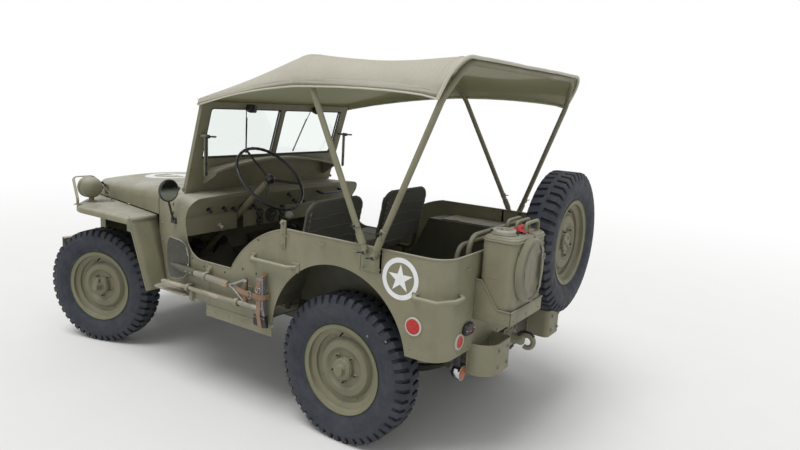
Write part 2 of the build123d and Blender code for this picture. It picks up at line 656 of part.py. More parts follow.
# Windscreen: tilted frame with two panes, leg brackets down the cowl's sides, and an inner tray
rake = radians(screen_rake)
screen_plane = Plane(origin=(screen_base_x, 0, screen_base_z), x_dir=(0, 1, 0), z_dir=(cos(rake), 0, sin(rake)))
pane_half_width = 272
pane_low = 205
pane_high = 502
pane_height = pane_high - pane_low
pane_middle = (pane_low + pane_high) / 2
leg_top = 120
leg_drop = 150
with BuildPart() as windscreen_frame:
    with BuildSketch(screen_plane):
        with Locations((0, screen_height / 2)):
            Rectangle(2 * screen_half, screen_height)
        with Locations((288, pane_middle), (-288, pane_middle)):
            Rectangle(2 * pane_half_width, pane_height, mode=Mode.SUBTRACT)
    extrude(amount=screen_depth)
    add(cowl_volume.part, mode=Mode.SUBTRACT)
windscreen_frame.part.label = "windscreen_frame"
export_step(windscreen_frame.part, "parts/windscreen_frame.step")

with BuildPart() as windscreen_glass:
    with BuildSketch(screen_plane.offset(10)):
        with Locations((288, pane_middle), (-288, pane_middle)):
            Rectangle(2 * pane_half_width - 0.4, pane_height - 0.4)
    extrude(amount=5)
windscreen_glass.part.label = "windscreen_glass"
export_step(windscreen_glass.part, "parts/windscreen_glass.step")

# Bows: two bent tubes across the car on brackets at the tub's sides
bow_y = body_half_width + 20
bow_shapes = [
    # (foot, top, height of the knee as a share, how far knee and top lie inside the tub's side)
    (front_bow_pivot, front_bow_top, 0.83, 9, 102),
    (rear_bow_pivot, rear_bow_top, 0.82, 30, 117),
]
with BuildPart() as canopy_bows:
    for (foot_x, foot_z), (top_x, top_z), knee, knee_inset, top_inset in bow_shapes:
        knee_half = body_half_width - knee_inset
        top_half = body_half_width - top_inset

        def along_bow(share, y):
            return (foot_x + (top_x - foot_x) * share, y, foot_z + (top_z - foot_z) * share)
        corners = [along_bow(0, bow_y), along_bow(knee, knee_half), along_bow(1, top_half),
                   along_bow(1, -top_half), along_bow(knee, -knee_half), along_bow(0, -bow_y)]
        add(bent_tube(corners, 110, bow_radius))
    for sign in (1, -1):
        y_low, y_high = sorted((sign * body_half_width, sign * (body_half_width + 5)))
        block(rear_bow_pivot[0] - 32, front_bow_pivot[0] + 33, y_low, y_high, tub_top_z - 108, tub_top_z)
        y_low, y_high = sorted((sign * (body_half_width + 5), sign * (bow_y + 10)))
        for foot_x, foot_z in (front_bow_pivot, rear_bow_pivot):
            rod((foot_x, y_low, foot_z - 6), (foot_x, y_high, foot_z - 6), 11)
canopy_bows.part.label = "canopy_bows"
export_step(canopy_bows.part, "parts/canopy_bows.step")


def canopy_section(x, half_width, hem_z, top_z, radius, inset):
    """Section of the canvas top: hanging sides, rounded shoulders and a flat top."""
    half = half_width - inset
    top = top_z - inset
    turn = radius - inset
    low = hem_z - (20 if inset else 0)
    with BuildSketch(Plane(origin=(x, 0, 0), x_dir=(0, 1, 0), z_dir=(1, 0, 0))) as section:
        with BuildLine():
            Line((-half, low), (half, low))
            Line((half, low), (half, top - turn))
            RadiusArc((half, top - turn), (half - turn, top), -turn)
            Line((half - turn, top), (-half + turn, top))
            RadiusArc((-half + turn, top), (-half, top - turn), -turn)
            Line((-half, top - turn), (-half, low))
        make_face()
    return section.sketch


# Canvas top: one sheet from the windscreen over both bows, with a short drop at the sides
canopy_stations = [
    # (x, half width, hem z, top z, shoulder radius)
    (rear_bow_top[0] - 19, body_half_width - 2, 1657, canopy_top_z, 118),
    (front_bow_top[0] + 10, body_half_width + 20, 1682, canopy_top_z, 118),
    (165, screen_half + 14, 1560, 1598, 24),
]
with BuildPart() as canopy:
    for (rear, front) in zip(canopy_stations, canopy_stations[1:]):
        loft([canopy_section(*rear, 0).face(), canopy_section(*front, 0).face()], ruled=True)
    for (rear, front) in zip(canopy_stations, canopy_stations[1:]):
        loft([canopy_section(*rear, canopy_thickness).face(), canopy_section(*front, canopy_thickness).face()],
             ruled=True, mode=Mode.SUBTRACT)
canopy.part.label = "canopy"
export_step(canopy.part, "parts/canopy.step")

# Steering column and steering wheel
wheel_up = column_dir * -1
column_box = wheel_hub + column_dir * 960
with BuildPart() as steering_column:
    rod(wheel_hub + column_dir * 45, wheel_hub + column_dir * 900, 19)
    rod(wheel_hub + column_dir * -20, wheel_hub + column_dir * 50, 9)
    block(565, 690, steering_wheel_y - 20, steering_wheel_y + 20, rail_low_z + 40, 600)
    add(chassis_frame.part, mode=Mode.SUBTRACT)
steering_column.part.label = "steering_column"
export_step(steering_column.part, "parts/steering_column.step")

wheel_face = Plane(origin=wheel_hub, x_dir=(0, 1, 0), z_dir=wheel_up)
with BuildPart() as steering_wheel:
    with Locations(wheel_face):
        Torus(steering_wheel_radius, steering_rim_radius)
        Cylinder(27, 44)
    for turn in (90, 210, 330):
        spoke = wheel_face.x_dir * cos(radians(turn)) + wheel_face.y_dir * sin(radians(turn))
        rod(wheel_hub + spoke * 20, wheel_hub + spoke * steering_wheel_radius, 5)
    rod(wheel_hub + column_dir * -21, wheel_hub + column_dir * 30, 9 + running_gap, mode=Mode.SUBTRACT)
steering_wheel.part.label = "steering_wheel"
export_step(steering_wheel.part, "parts/steering_wheel.step")

# Gear levers on the tunnel and pedals at the toe board
with BuildPart() as pedals_and_levers:
    for base_x, base_y, top_x, top_y, top_z in ((300, 0, 60, 25, 900), (230, -55, 120, -75, 800),
                                                (230, -25, 140, -35, 790)):
        foot = Vector(base_x, base_y, tunnel_top_z - 3)
        tip = Vector(top_x, top_y, top_z)
        along = (tip - foot).normalized()
        rod(foot, tip, 7)
        rod(tip - along * 14, tip + along * 20, 18)
    for pedal_y in (440, 250):
        rod((500, pedal_y, 611), (424, pedal_y, 716), 8)
        rod((420, pedal_y, 722), (428, pedal_y, 711), 36)
    under_toe = [(400, floor_z), (cowl_front_x - sheet, 690), (700, 690), (700, 400), (400, 400)]
    extrude(side_face(under_toe, 500), amount=300, mode=Mode.SUBTRACT)
    block(200, 400, -80, 80, 500, tunnel_top_z, mode=Mode.SUBTRACT)
pedals_and_levers.part.label = "pedals_and_levers"
export_step(pedals_and_levers.part, "parts/pedals_and_levers.step")

# Seats: bent tube frames with a cushion on the base and one against the back
seat_tube = 12.5
seat_low_y = 125
seat_high_y = 550
seat_front_x = -130
seat_rear_x = -500
seat_rail_z = 705
back_top = (-575, 1105)
seat_pivot_z = 558
pivot_eye = 14
pivot_pin = 6


def seat_tubes(foot_z, rear_foot_z):
    """One tube a seat: up from the front feet, back along the base and over the backrest."""
    corners = [(seat_front_x, seat_low_y, foot_z), (seat_front_x, seat_low_y, seat_rail_z),
               (seat_rear_x, seat_low_y, seat_rail_z), (back_top[0], seat_low_y, back_top[1]),
               (back_top[0], seat_high_y, back_top[1]), (seat_rear_x, seat_high_y, seat_rail_z),
               (seat_front_x, seat_high_y, seat_rail_z), (seat_front_x, seat_high_y, foot_z)]
    with BuildPart() as tubes:
        add(bent_tube(corners, 50, seat_tube))
        for y in (seat_low_y, seat_high_y):
            rod((seat_rear_x + 60, y, rear_foot_z), (seat_rear_x + 60, y, seat_rail_z), seat_tube)
        rod((seat_front_x - 55, seat_low_y, seat_rail_z), (seat_front_x - 55, seat_high_y, seat_rail_z), seat_tube)
    return tubes.part


def seat_pads():
    """Base and back cushions as plain blocks with rounded edges."""
    with BuildPart() as pads:
        block(seat_rear_x + 30, seat_front_x, seat_low_y + 8, seat_high_y - 8,
              seat_rail_z + seat_tube + 0.3, seat_rail_z + 90)
        back = [(seat_rear_x - 4, 806), (seat_rear_x + 44, 806), (back_top[0] + 62, 1092), (back_top[0] + 15, 1092)]
        extrude(side_face(back, seat_high_y - 18), amount=seat_high_y - seat_low_y - 36)
    return pads.part


with BuildPart() as driver_frame:
    add(seat_tubes(floor_z, floor_z))
driver_frame.part.label = "driver_seat_frame"
export_step(driver_frame.part, "parts/driver_seat_frame.step")

# Rear seat, folded up against the back: the backrest's hoop behind the base's hoop
hoop_x = -1408
base_x = -1340
with BuildPart() as rear_seat_frame:
    for x, half, top_z, bend in ((hoop_x, 420, 1060, 70), (base_x, 400, 1000, 60)):
        corners = [(x, half, rear_floor_z), (x, half, top_z), (x, -half, top_z), (x, -half, rear_floor_z)]
        add(bent_tube(corners, bend, seat_tube))
rear_seat_frame.part.label = "rear_seat_frame"
export_step(rear_seat_frame.part, "parts/rear_seat_frame.step")

with BuildPart() as seat_cushions:
    add(seat_pads())
    block(hoop_x + seat_tube + 0.4, base_x - seat_tube - 0.4, -405, 405, 640, 960)
seat_cushions.part.label = "seat_cushions"
export_step(seat_cushions.part, "parts/seat_cushions.step")

passenger_side = Plane.XZ
with BuildPart() as passenger_frame:
    add(mirror(seat_tubes(seat_pivot_z, floor_z + 0.5), about=passenger_side))
    for y in (-seat_low_y, -seat_high_y):
        rod((seat_front_x, y - 14, seat_pivot_z), (seat_front_x, y + 14, seat_pivot_z), pivot_eye)
        rod((seat_front_x, y - 30, seat_pivot_z), (seat_front_x, y + 30, seat_pivot_z), pivot_pin + running_gap,
            mode=Mode.SUBTRACT)
passenger_frame.part.label = "passenger_seat_frame"
export_step(passenger_frame.part, "parts/passenger_seat_frame.step")

with BuildPart() as passenger_cushions:
    add(mirror(seat_pads(), about=passenger_side))
passenger_cushions.part.label = "passenger_seat_cushions"
export_step(passenger_cushions.part, "parts/passenger_seat_cushions.step")

# Hinge brackets of the passenger seat, on the floor
with BuildPart() as seat_brackets:
    for y in (-seat_low_y, -seat_high_y):
        for ear in (-18, 18):
            block(seat_front_x - 16, seat_front_x + 16, y + ear - 3, y + ear + 3, floor_z, seat_pivot_z + 14)
        rod((seat_front_x, y - 21, seat_pivot_z), (seat_front_x, y + 21, seat_pivot_z), pivot_pin)
seat_brackets.part.label = "seat_brackets"
export_step(seat_brackets.part, "parts/seat_brackets.step")

# Fuel tank under the driver's seat
with BuildPart() as fuel_tank:
    block(-420, -160, 150, 525, floor_z, 680)
    fillet(fuel_tank.edges().filter_by(Axis.X), radius=25)
fuel_tank.part.label = "fuel_tank"
export_step(fuel_tank.part, "parts/fuel_tank.step")

# Lamps in front: two headlamps behind the grille and a guarded lamp on the left fender
guide_x = 1215
guide_y = 625
guide_z = 985
guide_radius = 68
with BuildPart() as front_lamps:
    for sign in (1, -1):
        rod((grille_face_x - 90, sign * lamp_y, lamp_z), (grille_face_x - sheet, sign * lamp_y, lamp_z),
            lamp_opening + 5)
    with Locations((guide_x, guide_y, guide_z)):
        Sphere(guide_radius)
    rod((guide_x, guide_y, fender_top_z), (guide_x, guide_y, guide_z - guide_radius + 6), 16)
    hoop = [(guide_x + 85, guide_y - 95, fender_top_z), (guide_x + 85, guide_y - 95, 1075),
            (guide_x + 85, guide_y + 95, 1075), (guide_x + 85, guide_y + 95, fender_top_z)]
    add(bent_tube(hoop, 80, 6))
front_lamps.part.label = "front_lamps"
export_step(front_lamps.part, "parts/front_lamps.step")

# Lamps and reflectors on the back and sides of the tub
reflector_y = body_half_width - 143
tail_lamp_y = body_half_width - 220
low_lamp_y = body_half_width - 240
with BuildPart() as rear_lamps:
    for sign in (1, -1):
        rod((-1338, sign * body_half_width, 705), (-1338, sign * (body_half_width + 10), 705), 41)
        rod((body_rear_x, sign * reflector_y, 632), (body_rear_x - 10, sign * reflector_y, 632), 38)
        rod((body_rear_x, sign * tail_lamp_y, 632), (body_rear_x - 45, sign * tail_lamp_y, 632), 36)
        rod((body_rear_x + 5, sign * low_lamp_y, 454), (body_rear_x + 70, sign * low_lamp_y, 454), 34)
        block(body_rear_x + 20, body_rear_x + 50, sign * low_lamp_y - 8, sign * low_lamp_y + 8,
              480, rear_floor_z - sheet)
rear_lamps.part.label = "rear_lamps"
export_step(rear_lamps.part, "parts/rear_lamps.step")

# Mirror on an arm from the cowl's side
mirror_centre = Vector(262, tub_width(300) + 68, 1090)
mirror_radius = 60
with BuildPart() as mirror_arm:
    rod(mirror_centre, mirror_centre + Vector(14, 0, 0), mirror_radius)
    arm_foot = Vector(300, tub_width(300), 915)
    rod(mirror_centre + Vector(10, 0, -50), arm_foot + Vector(0, 14, 0), 6)
    block(280, 320, tub_width(300) - 4, tub_width(300) + 16, 897, 927)
    add(tub_volume.part, mode=Mode.SUBTRACT)
mirror_arm.part.label = "mirror"
export_step(mirror_arm.part, "parts/mirror.step")

# Grab handles on the sides and round the rear corners
handle_radius = 10
with BuildPart() as grab_handles:
    for sign in (1, -1):
        side_y = sign * body_half_width
        out_y = sign * (body_half_width + 32)
        add(bent_tube([(-376, side_y, 833), (-400, out_y, 833), (-636, out_y, 833), (-661, side_y, 833)],
                      18, handle_radius))
        add(bent_tube([(-1331, side_y, 838), (-1352, out_y, 838), (-1460, out_y, 838),
                       (body_rear_x - 26, side_y - sign * 50, 838), (body_rear_x - 26, side_y - sign * 112, 838),
                       (body_rear_x, side_y - sign * 135, 838)], 14, handle_radius))
    add(tub_volume.part, mode=Mode.SUBTRACT)
grab_handles.part.label = "grab_handles"
export_step(grab_handles.part, "parts/grab_handles.step")

# Shovel and axe strapped to the left side
tool_y = body_half_width + 35
with BuildPart() as pioneer_tools:
    rod((170, tool_y, 726), (-300, tool_y, 698), 19)
    rod((205, tool_y, 610), (-500, tool_y, 612), 17)
    block(-560, -515, tool_y - 18, tool_y + 18, 538, 783)
    block(160, 330, tool_y - 4, tool_y + 4, 600, 850)
    for x, z_low, z_high in ((-60, 670, 738), (-560, 580, 700), (120, 500, 620)):
        block(x - 15, x + 15, body_half_width, tool_y - 4, z_low, z_high)
    add(tub_volume.part, mode=Mode.SUBTRACT)
pioneer_tools.part.label = "pioneer_tools"
export_step(pioneer_tools.part, "parts/pioneer_tools.step")

# Fuel can in its cradle, with a folded canvas bucket strapped to its back
carrier_floor_z = 642
can_low = (-1655, 125, carrier_floor_z + 0.3)
can_high = (-1490, 470, 1095)
with BuildPart() as jerry_can:
    block(can_low[0], can_high[0], can_low[1], can_high[1], can_low[2], can_high[2])
    fillet(jerry_can.edges().filter_by(Axis.Z), radius=38)
    for bar_x in (-1610, -1572, -1535):
        add(bent_tube([(bar_x, 165, 1095), (bar_x, 165, 1138), (bar_x, 330, 1138), (bar_x, 330, 1095)], 16, 8))
    rod((-1572, 410, 1095), (-1572, 410, 1120), 36)
jerry_can.part.label = "jerry_can"
export_step(jerry_can.part, "parts/jerry_can.step")

with BuildPart() as canvas_bucket:
    rod((-1690, 300, 915), (can_low[0] - 0.4, 300, 915), 155)
canvas_bucket.part.label = "canvas_bucket"
export_step(canvas_bucket.part, "parts/canvas_bucket.step")

with BuildPart() as rear_carriers:
    cradle = [(can_low[0] - 5, carrier_floor_z - sheet), (can_low[0] - 5, 700), (can_low[0] + 60, 700),
              (can_high[0] - 20, 820), (body_rear_x, 820), (body_rear_x, carrier_floor_z - sheet)]
    extrude(side_face(cradle, can_high[1] + 5), amount=can_high[1] - can_low[1] + 10)
    block(can_low[0] - 1, body_rear_x - sheet, can_low[1] - 1, can_high[1] + 1, carrier_floor_z, 900,
          mode=Mode.SUBTRACT)
    rod((body_rear_x, spare_y, spare_z), (spare_x - 17.9, spare_y, spare_z), 52)
    rod((spare_x - 12, spare_y, spare_z), (spare_x - 17.9, spare_y, spare_z), 84)
rear_carriers.part.label = "rear_carriers"
export_step(rear_carriers.part, "parts/rear_carriers.step")

# Bumperettes and towing hook on the rear cross member
with BuildPart() as rear_bumpers:
    for sign in (1, -1):
        y_low, y_high = sorted((sign * 200, sign * 455))
        block(-1580, -1460, y_low, y_high, 425, 560)
        block(-1576, -1468, y_low + 4, y_high - 4, 424, 561, mode=Mode.SUBTRACT)
    rod((-1460, 0, 485), (-1540, 0, 485), 26)
    with Locations(Plane(origin=(-1565, 0, 485), x_dir=(1, 0, 0), z_dir=(0, 1, 0))):
        Torus(34, 12)
rear_bumpers.part.label = "rear_bumpers"
export_step(rear_bumpers.part, "parts/rear_bumpers.step")
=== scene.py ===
"""Looks of the open 4x4 car: camera, studio, finishes and pieces made as meshes, with lengths in metres."""

import json
import math

import bmesh
import bpy
from mathutils import Matrix, Vector, noise
from mathutils.bvhtree import BVHTree

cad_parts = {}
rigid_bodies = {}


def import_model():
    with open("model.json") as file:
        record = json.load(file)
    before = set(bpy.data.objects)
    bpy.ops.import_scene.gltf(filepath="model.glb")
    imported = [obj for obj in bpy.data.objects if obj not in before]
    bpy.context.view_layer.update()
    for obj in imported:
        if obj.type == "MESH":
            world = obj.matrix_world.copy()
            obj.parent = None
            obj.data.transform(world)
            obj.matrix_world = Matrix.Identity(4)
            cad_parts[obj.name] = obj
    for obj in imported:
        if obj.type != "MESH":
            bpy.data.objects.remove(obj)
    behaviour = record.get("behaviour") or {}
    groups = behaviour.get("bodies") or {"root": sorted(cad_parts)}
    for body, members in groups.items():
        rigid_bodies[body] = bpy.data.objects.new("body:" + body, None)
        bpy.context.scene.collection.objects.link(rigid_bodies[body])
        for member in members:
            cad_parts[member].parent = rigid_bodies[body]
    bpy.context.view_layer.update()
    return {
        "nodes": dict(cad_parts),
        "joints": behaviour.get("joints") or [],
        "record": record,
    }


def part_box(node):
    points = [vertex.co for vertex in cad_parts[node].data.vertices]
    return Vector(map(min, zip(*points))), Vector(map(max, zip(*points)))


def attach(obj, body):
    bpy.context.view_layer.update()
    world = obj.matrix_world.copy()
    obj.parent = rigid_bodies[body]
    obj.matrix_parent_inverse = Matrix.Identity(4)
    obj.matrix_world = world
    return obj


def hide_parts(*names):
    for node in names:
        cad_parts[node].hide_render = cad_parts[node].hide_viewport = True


for leftover in list(bpy.data.objects):
    bpy.data.objects.remove(leftover)
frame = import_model()
nodes = frame["nodes"]
joints = {joint["name"]: joint for joint in frame["joints"]}

# Camera at the photograph's viewpoint
camera_place = Vector((-2.7, 2.981, 1.636))
camera_yaw = -0.9931
camera_pitch = -0.1875
camera_roll = 0.0584
focal_pixels = 648.27
picture_width = 800
sensor_width = 36

# Sizes read from the frame
side_y = -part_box("tub_sides")[0].y
tub_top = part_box("tub_sides")[1].z
tub_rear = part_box("tub_sides")[0].x
axle_ahead = 0.03
front_axle_x = joints["spin_front_left"]["pos_m"][0] + axle_ahead
rear_axle_x = joints["spin_rear_left"]["pos_m"][0]


def new_object(name, data):
    """An object in the scene that shows the given data."""
    made = bpy.data.objects.new(name, data)
    bpy.context.scene.collection.objects.link(made)
    return made


def clamp(value):
    return max(0, min(1, value))


def spread(low, high, steps):
    """Numbers at even steps from low to high."""
    return [low + (high - low) * k / steps for k in range(steps + 1)]


def circle(radius, count):
    """Points round a circle, as pairs."""
    turns = [2 * math.pi * k / count for k in range(count)]
    return [(radius * math.cos(turn), radius * math.sin(turn)) for turn in turns]


def set_camera():
    """A camera turned by yaw, pitch and roll, with the photograph's focal length."""
    flat = math.cos(camera_pitch)
    ahead = Vector((flat * math.cos(camera_yaw), flat * math.sin(camera_yaw), math.sin(camera_pitch)))
    level = ahead.cross(Vector((0, 0, 1))).normalized()
    upward = level.cross(ahead)
    right = level * math.cos(camera_roll) + upward * math.sin(camera_roll)
    up = upward * math.cos(camera_roll) - level * math.sin(camera_roll)
    camera = new_object("camera", bpy.data.cameras.new("camera"))
    camera.matrix_world = Matrix((right, up, -ahead)).transposed().to_4x4()
    camera.location = camera_place
    camera.data.sensor_width = sensor_width
    camera.data.lens = focal_pixels / picture_width * sensor_width
    camera.data.clip_end = 200
    bpy.context.scene.camera = camera


def feed(socket, value):
    """Gives a socket its value, or a link where the value is a socket too."""
    if isinstance(value, bpy.types.NodeSocket):
        socket.id_data.links.new(value, socket)
    elif socket.type == "RGBA" and len(value) == 3:
        socket.default_value = (*value, 1)
    else:
        socket.default_value = value


def add_node(tree, kind, inputs=None, **settings):
    """A node with its settings and what feeds its inputs."""
    made = tree.nodes.new(kind)
    for key, setting in settings.items():
        setattr(made, key, setting)
    for key, value in (inputs or {}).items():
        feed(made.inputs[key], value)
    return made


def seen_directly(tree):
    """1 for rays that the camera, a mirror or a pane sends out, 0 for light that bounces."""
    path = add_node(tree, "ShaderNodeLightPath").outputs
    found = path["Is Camera Ray"]
    for kind in ("Is Glossy Ray", "Is Transmission Ray"):
        found = add_node(tree, "ShaderNodeMath", {0: found, 1: path[kind]}, operation="MAXIMUM").outputs[0]
    return found


def toned(colour, share, lift=0.0):
    """A colour made darker or lighter by a share."""
    return tuple(min(1, c * share + lift) for c in colour)


class Shader:
    """One material's nodes, with short calls for what the finishes share."""

    def __init__(self, name, rough=0.6, metal=0.0):
        self.material = bpy.data.materials.new(name)
        self.material.use_nodes = True
        self.tree = self.material.node_tree
        self.surface = self.tree.nodes["Principled BSDF"]
        self.set_surface(Roughness=rough, Metallic=metal)
        self.where = self.node("ShaderNodeTexCoord").outputs["Object"]
        self.facing = self.node("ShaderNodeNewGeometry").outputs["Normal"]

    def set_surface(self, **values):
        """Feeds inputs of the surface, with _ for each space in a name."""
        for key, value in values.items():
            feed(self.surface.inputs[key.replace("_", " ")], value)

    def node(self, kind, inputs=None, **settings):
        return add_node(self.tree, kind, inputs, **settings)

    def noise(self, scale, detail=4.0, rough=0.55, stretch=(1, 1, 1)):
        place = self.where
        if stretch != (1, 1, 1):
            place = self.node("ShaderNodeMapping", {"Vector": self.where, "Scale": stretch}).outputs[0]
        inputs = {"Vector": place, "Scale": scale, "Detail": detail, "Roughness": rough}
        return self.node("ShaderNodeTexNoise", inputs).outputs["Fac"]

    def between(self, value, low, high, out_low=0.0, out_high=1.0):
        """0 to 1, or out_low to out_high, as the value goes from low to high."""
        inputs = {"Value": value, "From Min": low, "From Max": high, "To Min": out_low, "To Max": out_high}
        return self.node("ShaderNodeMapRange", inputs, interpolation_type="SMOOTHSTEP").outputs["Result"]

    def math(self, operation, first, second=0.5):
        return self.node("ShaderNodeMath", {0: first, 1: second}, operation=operation).outputs[0]

    def times(self, first, second):
        return self.math("MULTIPLY", first, second)

    def mix(self, factor, first, second):
        inputs = {"Factor": factor, 6: first, 7: second}
        return self.node("ShaderNodeMix", inputs, data_type="RGBA", blend_type="MIX").outputs[2]

    def layer(self, tone, colour, share, scale, low, high, detail=4.0, rough=0.55, stretch=(1, 1, 1)):
        """Lays a share of a colour over a tone, in patches of noise cut between low and high."""
        patches = self.between(self.noise(scale, detail, rough, stretch), low, high)
        return self.mix(self.times(patches, share), tone, colour)

    def facing_up(self):
        return self.node("ShaderNodeSeparateXYZ", {0: self.facing}).outputs["Z"]

    def rounded(self, radius):
        return self.node("ShaderNodeBevel", {"Radius": radius}, samples=4).outputs["Normal"]

    def edges(self, normal, strength):
        """Near 1 on convex and concave edges, 0 on open surfaces."""
        same = self.node("ShaderNodeVectorMath", {0: normal, 1: self.facing}, operation="DOT_PRODUCT")
        return self.between(self.math("SUBTRACT", 1.0, same.outputs["Value"]), 0.02, strength)

    def bump(self, height, distance, strength=1.0, normal=None):
        made = self.node("ShaderNodeBump", {"Height": height, "Distance": distance, "Strength": strength})
        if normal is not None:
            feed(made.inputs["Normal"], normal)
        return made.outputs["Normal"]

    def finish(self, colour, normal=None, rough=None):
        self.set_surface(Base_Color=colour)
        if normal is not None:
            self.set_surface(Normal=normal)
        if rough is not None:
            self.set_surface(Roughness=rough)
        return self.material

    def show_with(self, share, second):
        """Lets a second shader show through the surface by a share."""
        inputs = {"Fac": share, 1: self.surface.outputs[0], 2: second.outputs[0]}
        mixed = self.node("ShaderNodeMixShader", inputs)
        feed(self.tree.nodes["Material Output"].inputs["Surface"], mixed.outputs[0])


# Pale dust, also laid as painted top light on faces that look up
dust_and_toplight_colour = (0.5, 0.485, 0.43)
chip_colour = (0.07, 0.05, 0.035)
mud_colour = (0.16, 0.13, 0.09)
# The weave is drawn this many times as coarse as its thread
weave_coarseness = 6.28


def paint(name, colour, faded, dust=0.3, wear=0.35, rough=0.6, bare=(0.3, 0.28, 0.22)):
    """Sun-faded matt paint: patches, streaks, dust and painted top light on what faces up, rubbed edges and
    small chips.
    """
    s = Shader(name)
    upright_streaks = (1, 1, 0.09)
    tone = s.layer(colour, faded, 0.55, 1.7, 0.36, 0.66, 5)
    tone = s.layer(tone, toned(colour, 0.72), 0.22, 9, 0.44, 0.64, 5, 0.6)
    tone = s.layer(tone, toned(colour, 0.62), 0.14, 16, 0.5, 0.72, 3, 0.5, upright_streaks)
    # Faces that look up are lightened by the dust share: partly dust, partly painted top light
    dust_and_toplight_mask = s.times(s.between(s.facing_up(), 0.3, 0.98), s.between(s.noise(5, 6, 0.65), 0.15, 0.62))
    tone = s.mix(s.times(dust_and_toplight_mask, dust), tone, dust_and_toplight_colour)
    normal = s.rounded(0.0028)
    rubbed = s.times(s.edges(normal, 0.25), s.between(s.noise(38, 5, 0.7), 0.46, 0.62))
    tone = s.mix(s.times(rubbed, wear), tone, bare)
    tone = s.layer(tone, chip_colour, 0.5, 120, 0.735, 0.76, 2, 0.4)
    grain = s.bump(s.noise(700, 3), 0.0002, 0.35, normal)
    normal = s.bump(s.noise(4, 2), 0.004, 0.25, grain)
    gloss = s.between(s.noise(14, 4), 0.3, 0.7, rough - 0.08, rough + 0.1)
    return s.finish(tone, normal, gloss)


def cloth(name, colour, faded, thread=0.0016, lit_through=None, rough=0.92, sheen=0.25):
    """Woven cotton: crossed threads, faded folds and soft stains; lit_through adds a translucent colour and
    painted shade on faces that look down.
    """
    s = Shader(name, rough)
    threads = 2 * math.pi / (thread * 20) / weave_coarseness
    inputs = {"Vector": s.where, "Scale": threads, "Distortion": 0.6, "Detail": 1.0, "Detail Scale": 3.0}
    ways = ("X", "DIAGONAL")
    warp, weft = (s.node("ShaderNodeTexWave", inputs, bands_direction=way).outputs["Fac"] for way in ways)
    weave = s.times(s.math("ADD", warp, weft), 0.5)
    tone = s.layer(colour, faded, 0.7, 3.2, 0.35, 0.68, 6, 0.62)
    tone = s.layer(tone, toned(colour, 0.6), 0.16, 90, 0.35, 0.7, 4, 0.7)
    tone = s.mix(s.times(weave, 0.12), tone, toned(colour, 1.5))
    if lit_through:
        # Painted shade: faces that look down are darkened to a dull yellow-green
        underside_shade = s.between(s.facing_up(), 0.15, -0.25, 0.0, 0.7)
        tone = s.mix(underside_shade, tone, (0.17, 0.17, 0.1))
    normal = s.bump(weave, thread * 0.3, 0.5)
    normal = s.bump(s.noise(24, 5, 0.6), 0.003, 0.35, normal)
    s.set_surface(Sheen_Weight=sheen, Sheen_Roughness=0.6)
    if lit_through:
        s.show_with(0.3, s.node("ShaderNodeBsdfTranslucent", {"Color": lit_through, "Normal": normal}))
    return s.finish(tone, normal)


def rubber(name, colour=(0.018, 0.023, 0.034), dusty=(0.052, 0.056, 0.066)):
    """Tyre rubber: bluish black, greyed by dust on the lugs, with painted shade in the tread's slots."""
    s = Shader(name, 0.74)
    slot_shade = s.node("ShaderNodeAttribute", attribute_name="slot_shade").outputs["Fac"]
    tone = s.layer(colour, dusty, 0.55, 7, 0.32, 0.7, 6, 0.6)
    tone = s.layer(tone, dusty, 0.25, 60, 0.35, 0.7, 5, 0.7)
    # Painted shade: the slots are darkened by their depth
    tone = s.mix(s.times(slot_shade, 0.55), tone, (0.012, 0.012, 0.013))
    tone = s.layer(tone, mud_colour, 0.15, 4, 0.6, 0.78, 5, 0.6)
    normal = s.bump(s.noise(380, 3), 0.0006, 0.5, s.rounded(0.0018))
    return s.finish(tone, normal, s.between(s.noise(20, 3), 0.3, 0.7, 0.66, 0.86))


def plain(name, colour, rough=0.4, metal=0.0, grain=0.12, scale=60, bump=0.0003):
    """A worn hard finish: one colour broken by grime and fine pits."""
    s = Shader(name, rough, metal)
    tone = s.layer(colour, toned(colour, 0.45), grain * 2, scale / 4, 0.4, 0.7, 5, 0.65)
    tone = s.layer(tone, toned(colour, 1.6, 0.02), grain, scale * 3, 0.5, 0.75, 3)
    normal = s.bump(s.noise(scale * 8, 3), bump, 0.4, s.rounded(0.0012))
    gloss = s.between(s.noise(scale, 4), 0.3, 0.7, max(0.02, rough - 0.08), rough + 0.1)
    return s.finish(tone, normal, gloss)


def worn_wood(name, dark=(0.42, 0.22, 0.1), light=(0.62, 0.4, 0.24), painted=(0.25, 0.24, 0.19)):
    """A painted ash handle rubbed through to the wood along its length."""
    s = Shader(name, 0.55)
    grain = s.noise(10, 6, 0.6, (1.2, 26, 26))
    rubbed = s.between(s.noise(5.5, 5, 0.62, (1.0, 3, 3)), 0.47, 0.6)
    tone = s.mix(rubbed, painted, s.mix(grain, dark, light))
    return s.finish(tone, s.bump(grain, 0.0008, 0.5))


def clear_glass(name, tint):
    s = Shader(name, 0.03)
    s.set_surface(Transmission_Weight=1.0, IOR=1.45)
    return s.finish(tint, None, s.between(s.noise(9, 6, 0.7), 0.45, 0.8, 0.02, 0.16))


def lens(name, colour):
    """Ribbed signal glass over a reflector."""
    s = Shader(name, 0.38)
    cells = s.node("ShaderNodeTexVoronoi", {"Vector": s.where, "Scale": 190}).outputs["Distance"]
    tone = s.mix(s.between(cells, 0.1, 0.6), colour, toned(colour, 0.45))
    s.set_surface(Coat_Weight=0.2, Coat_Roughness=0.12)
    return s.finish(tone, s.bump(cells, 0.0008, 0.6))


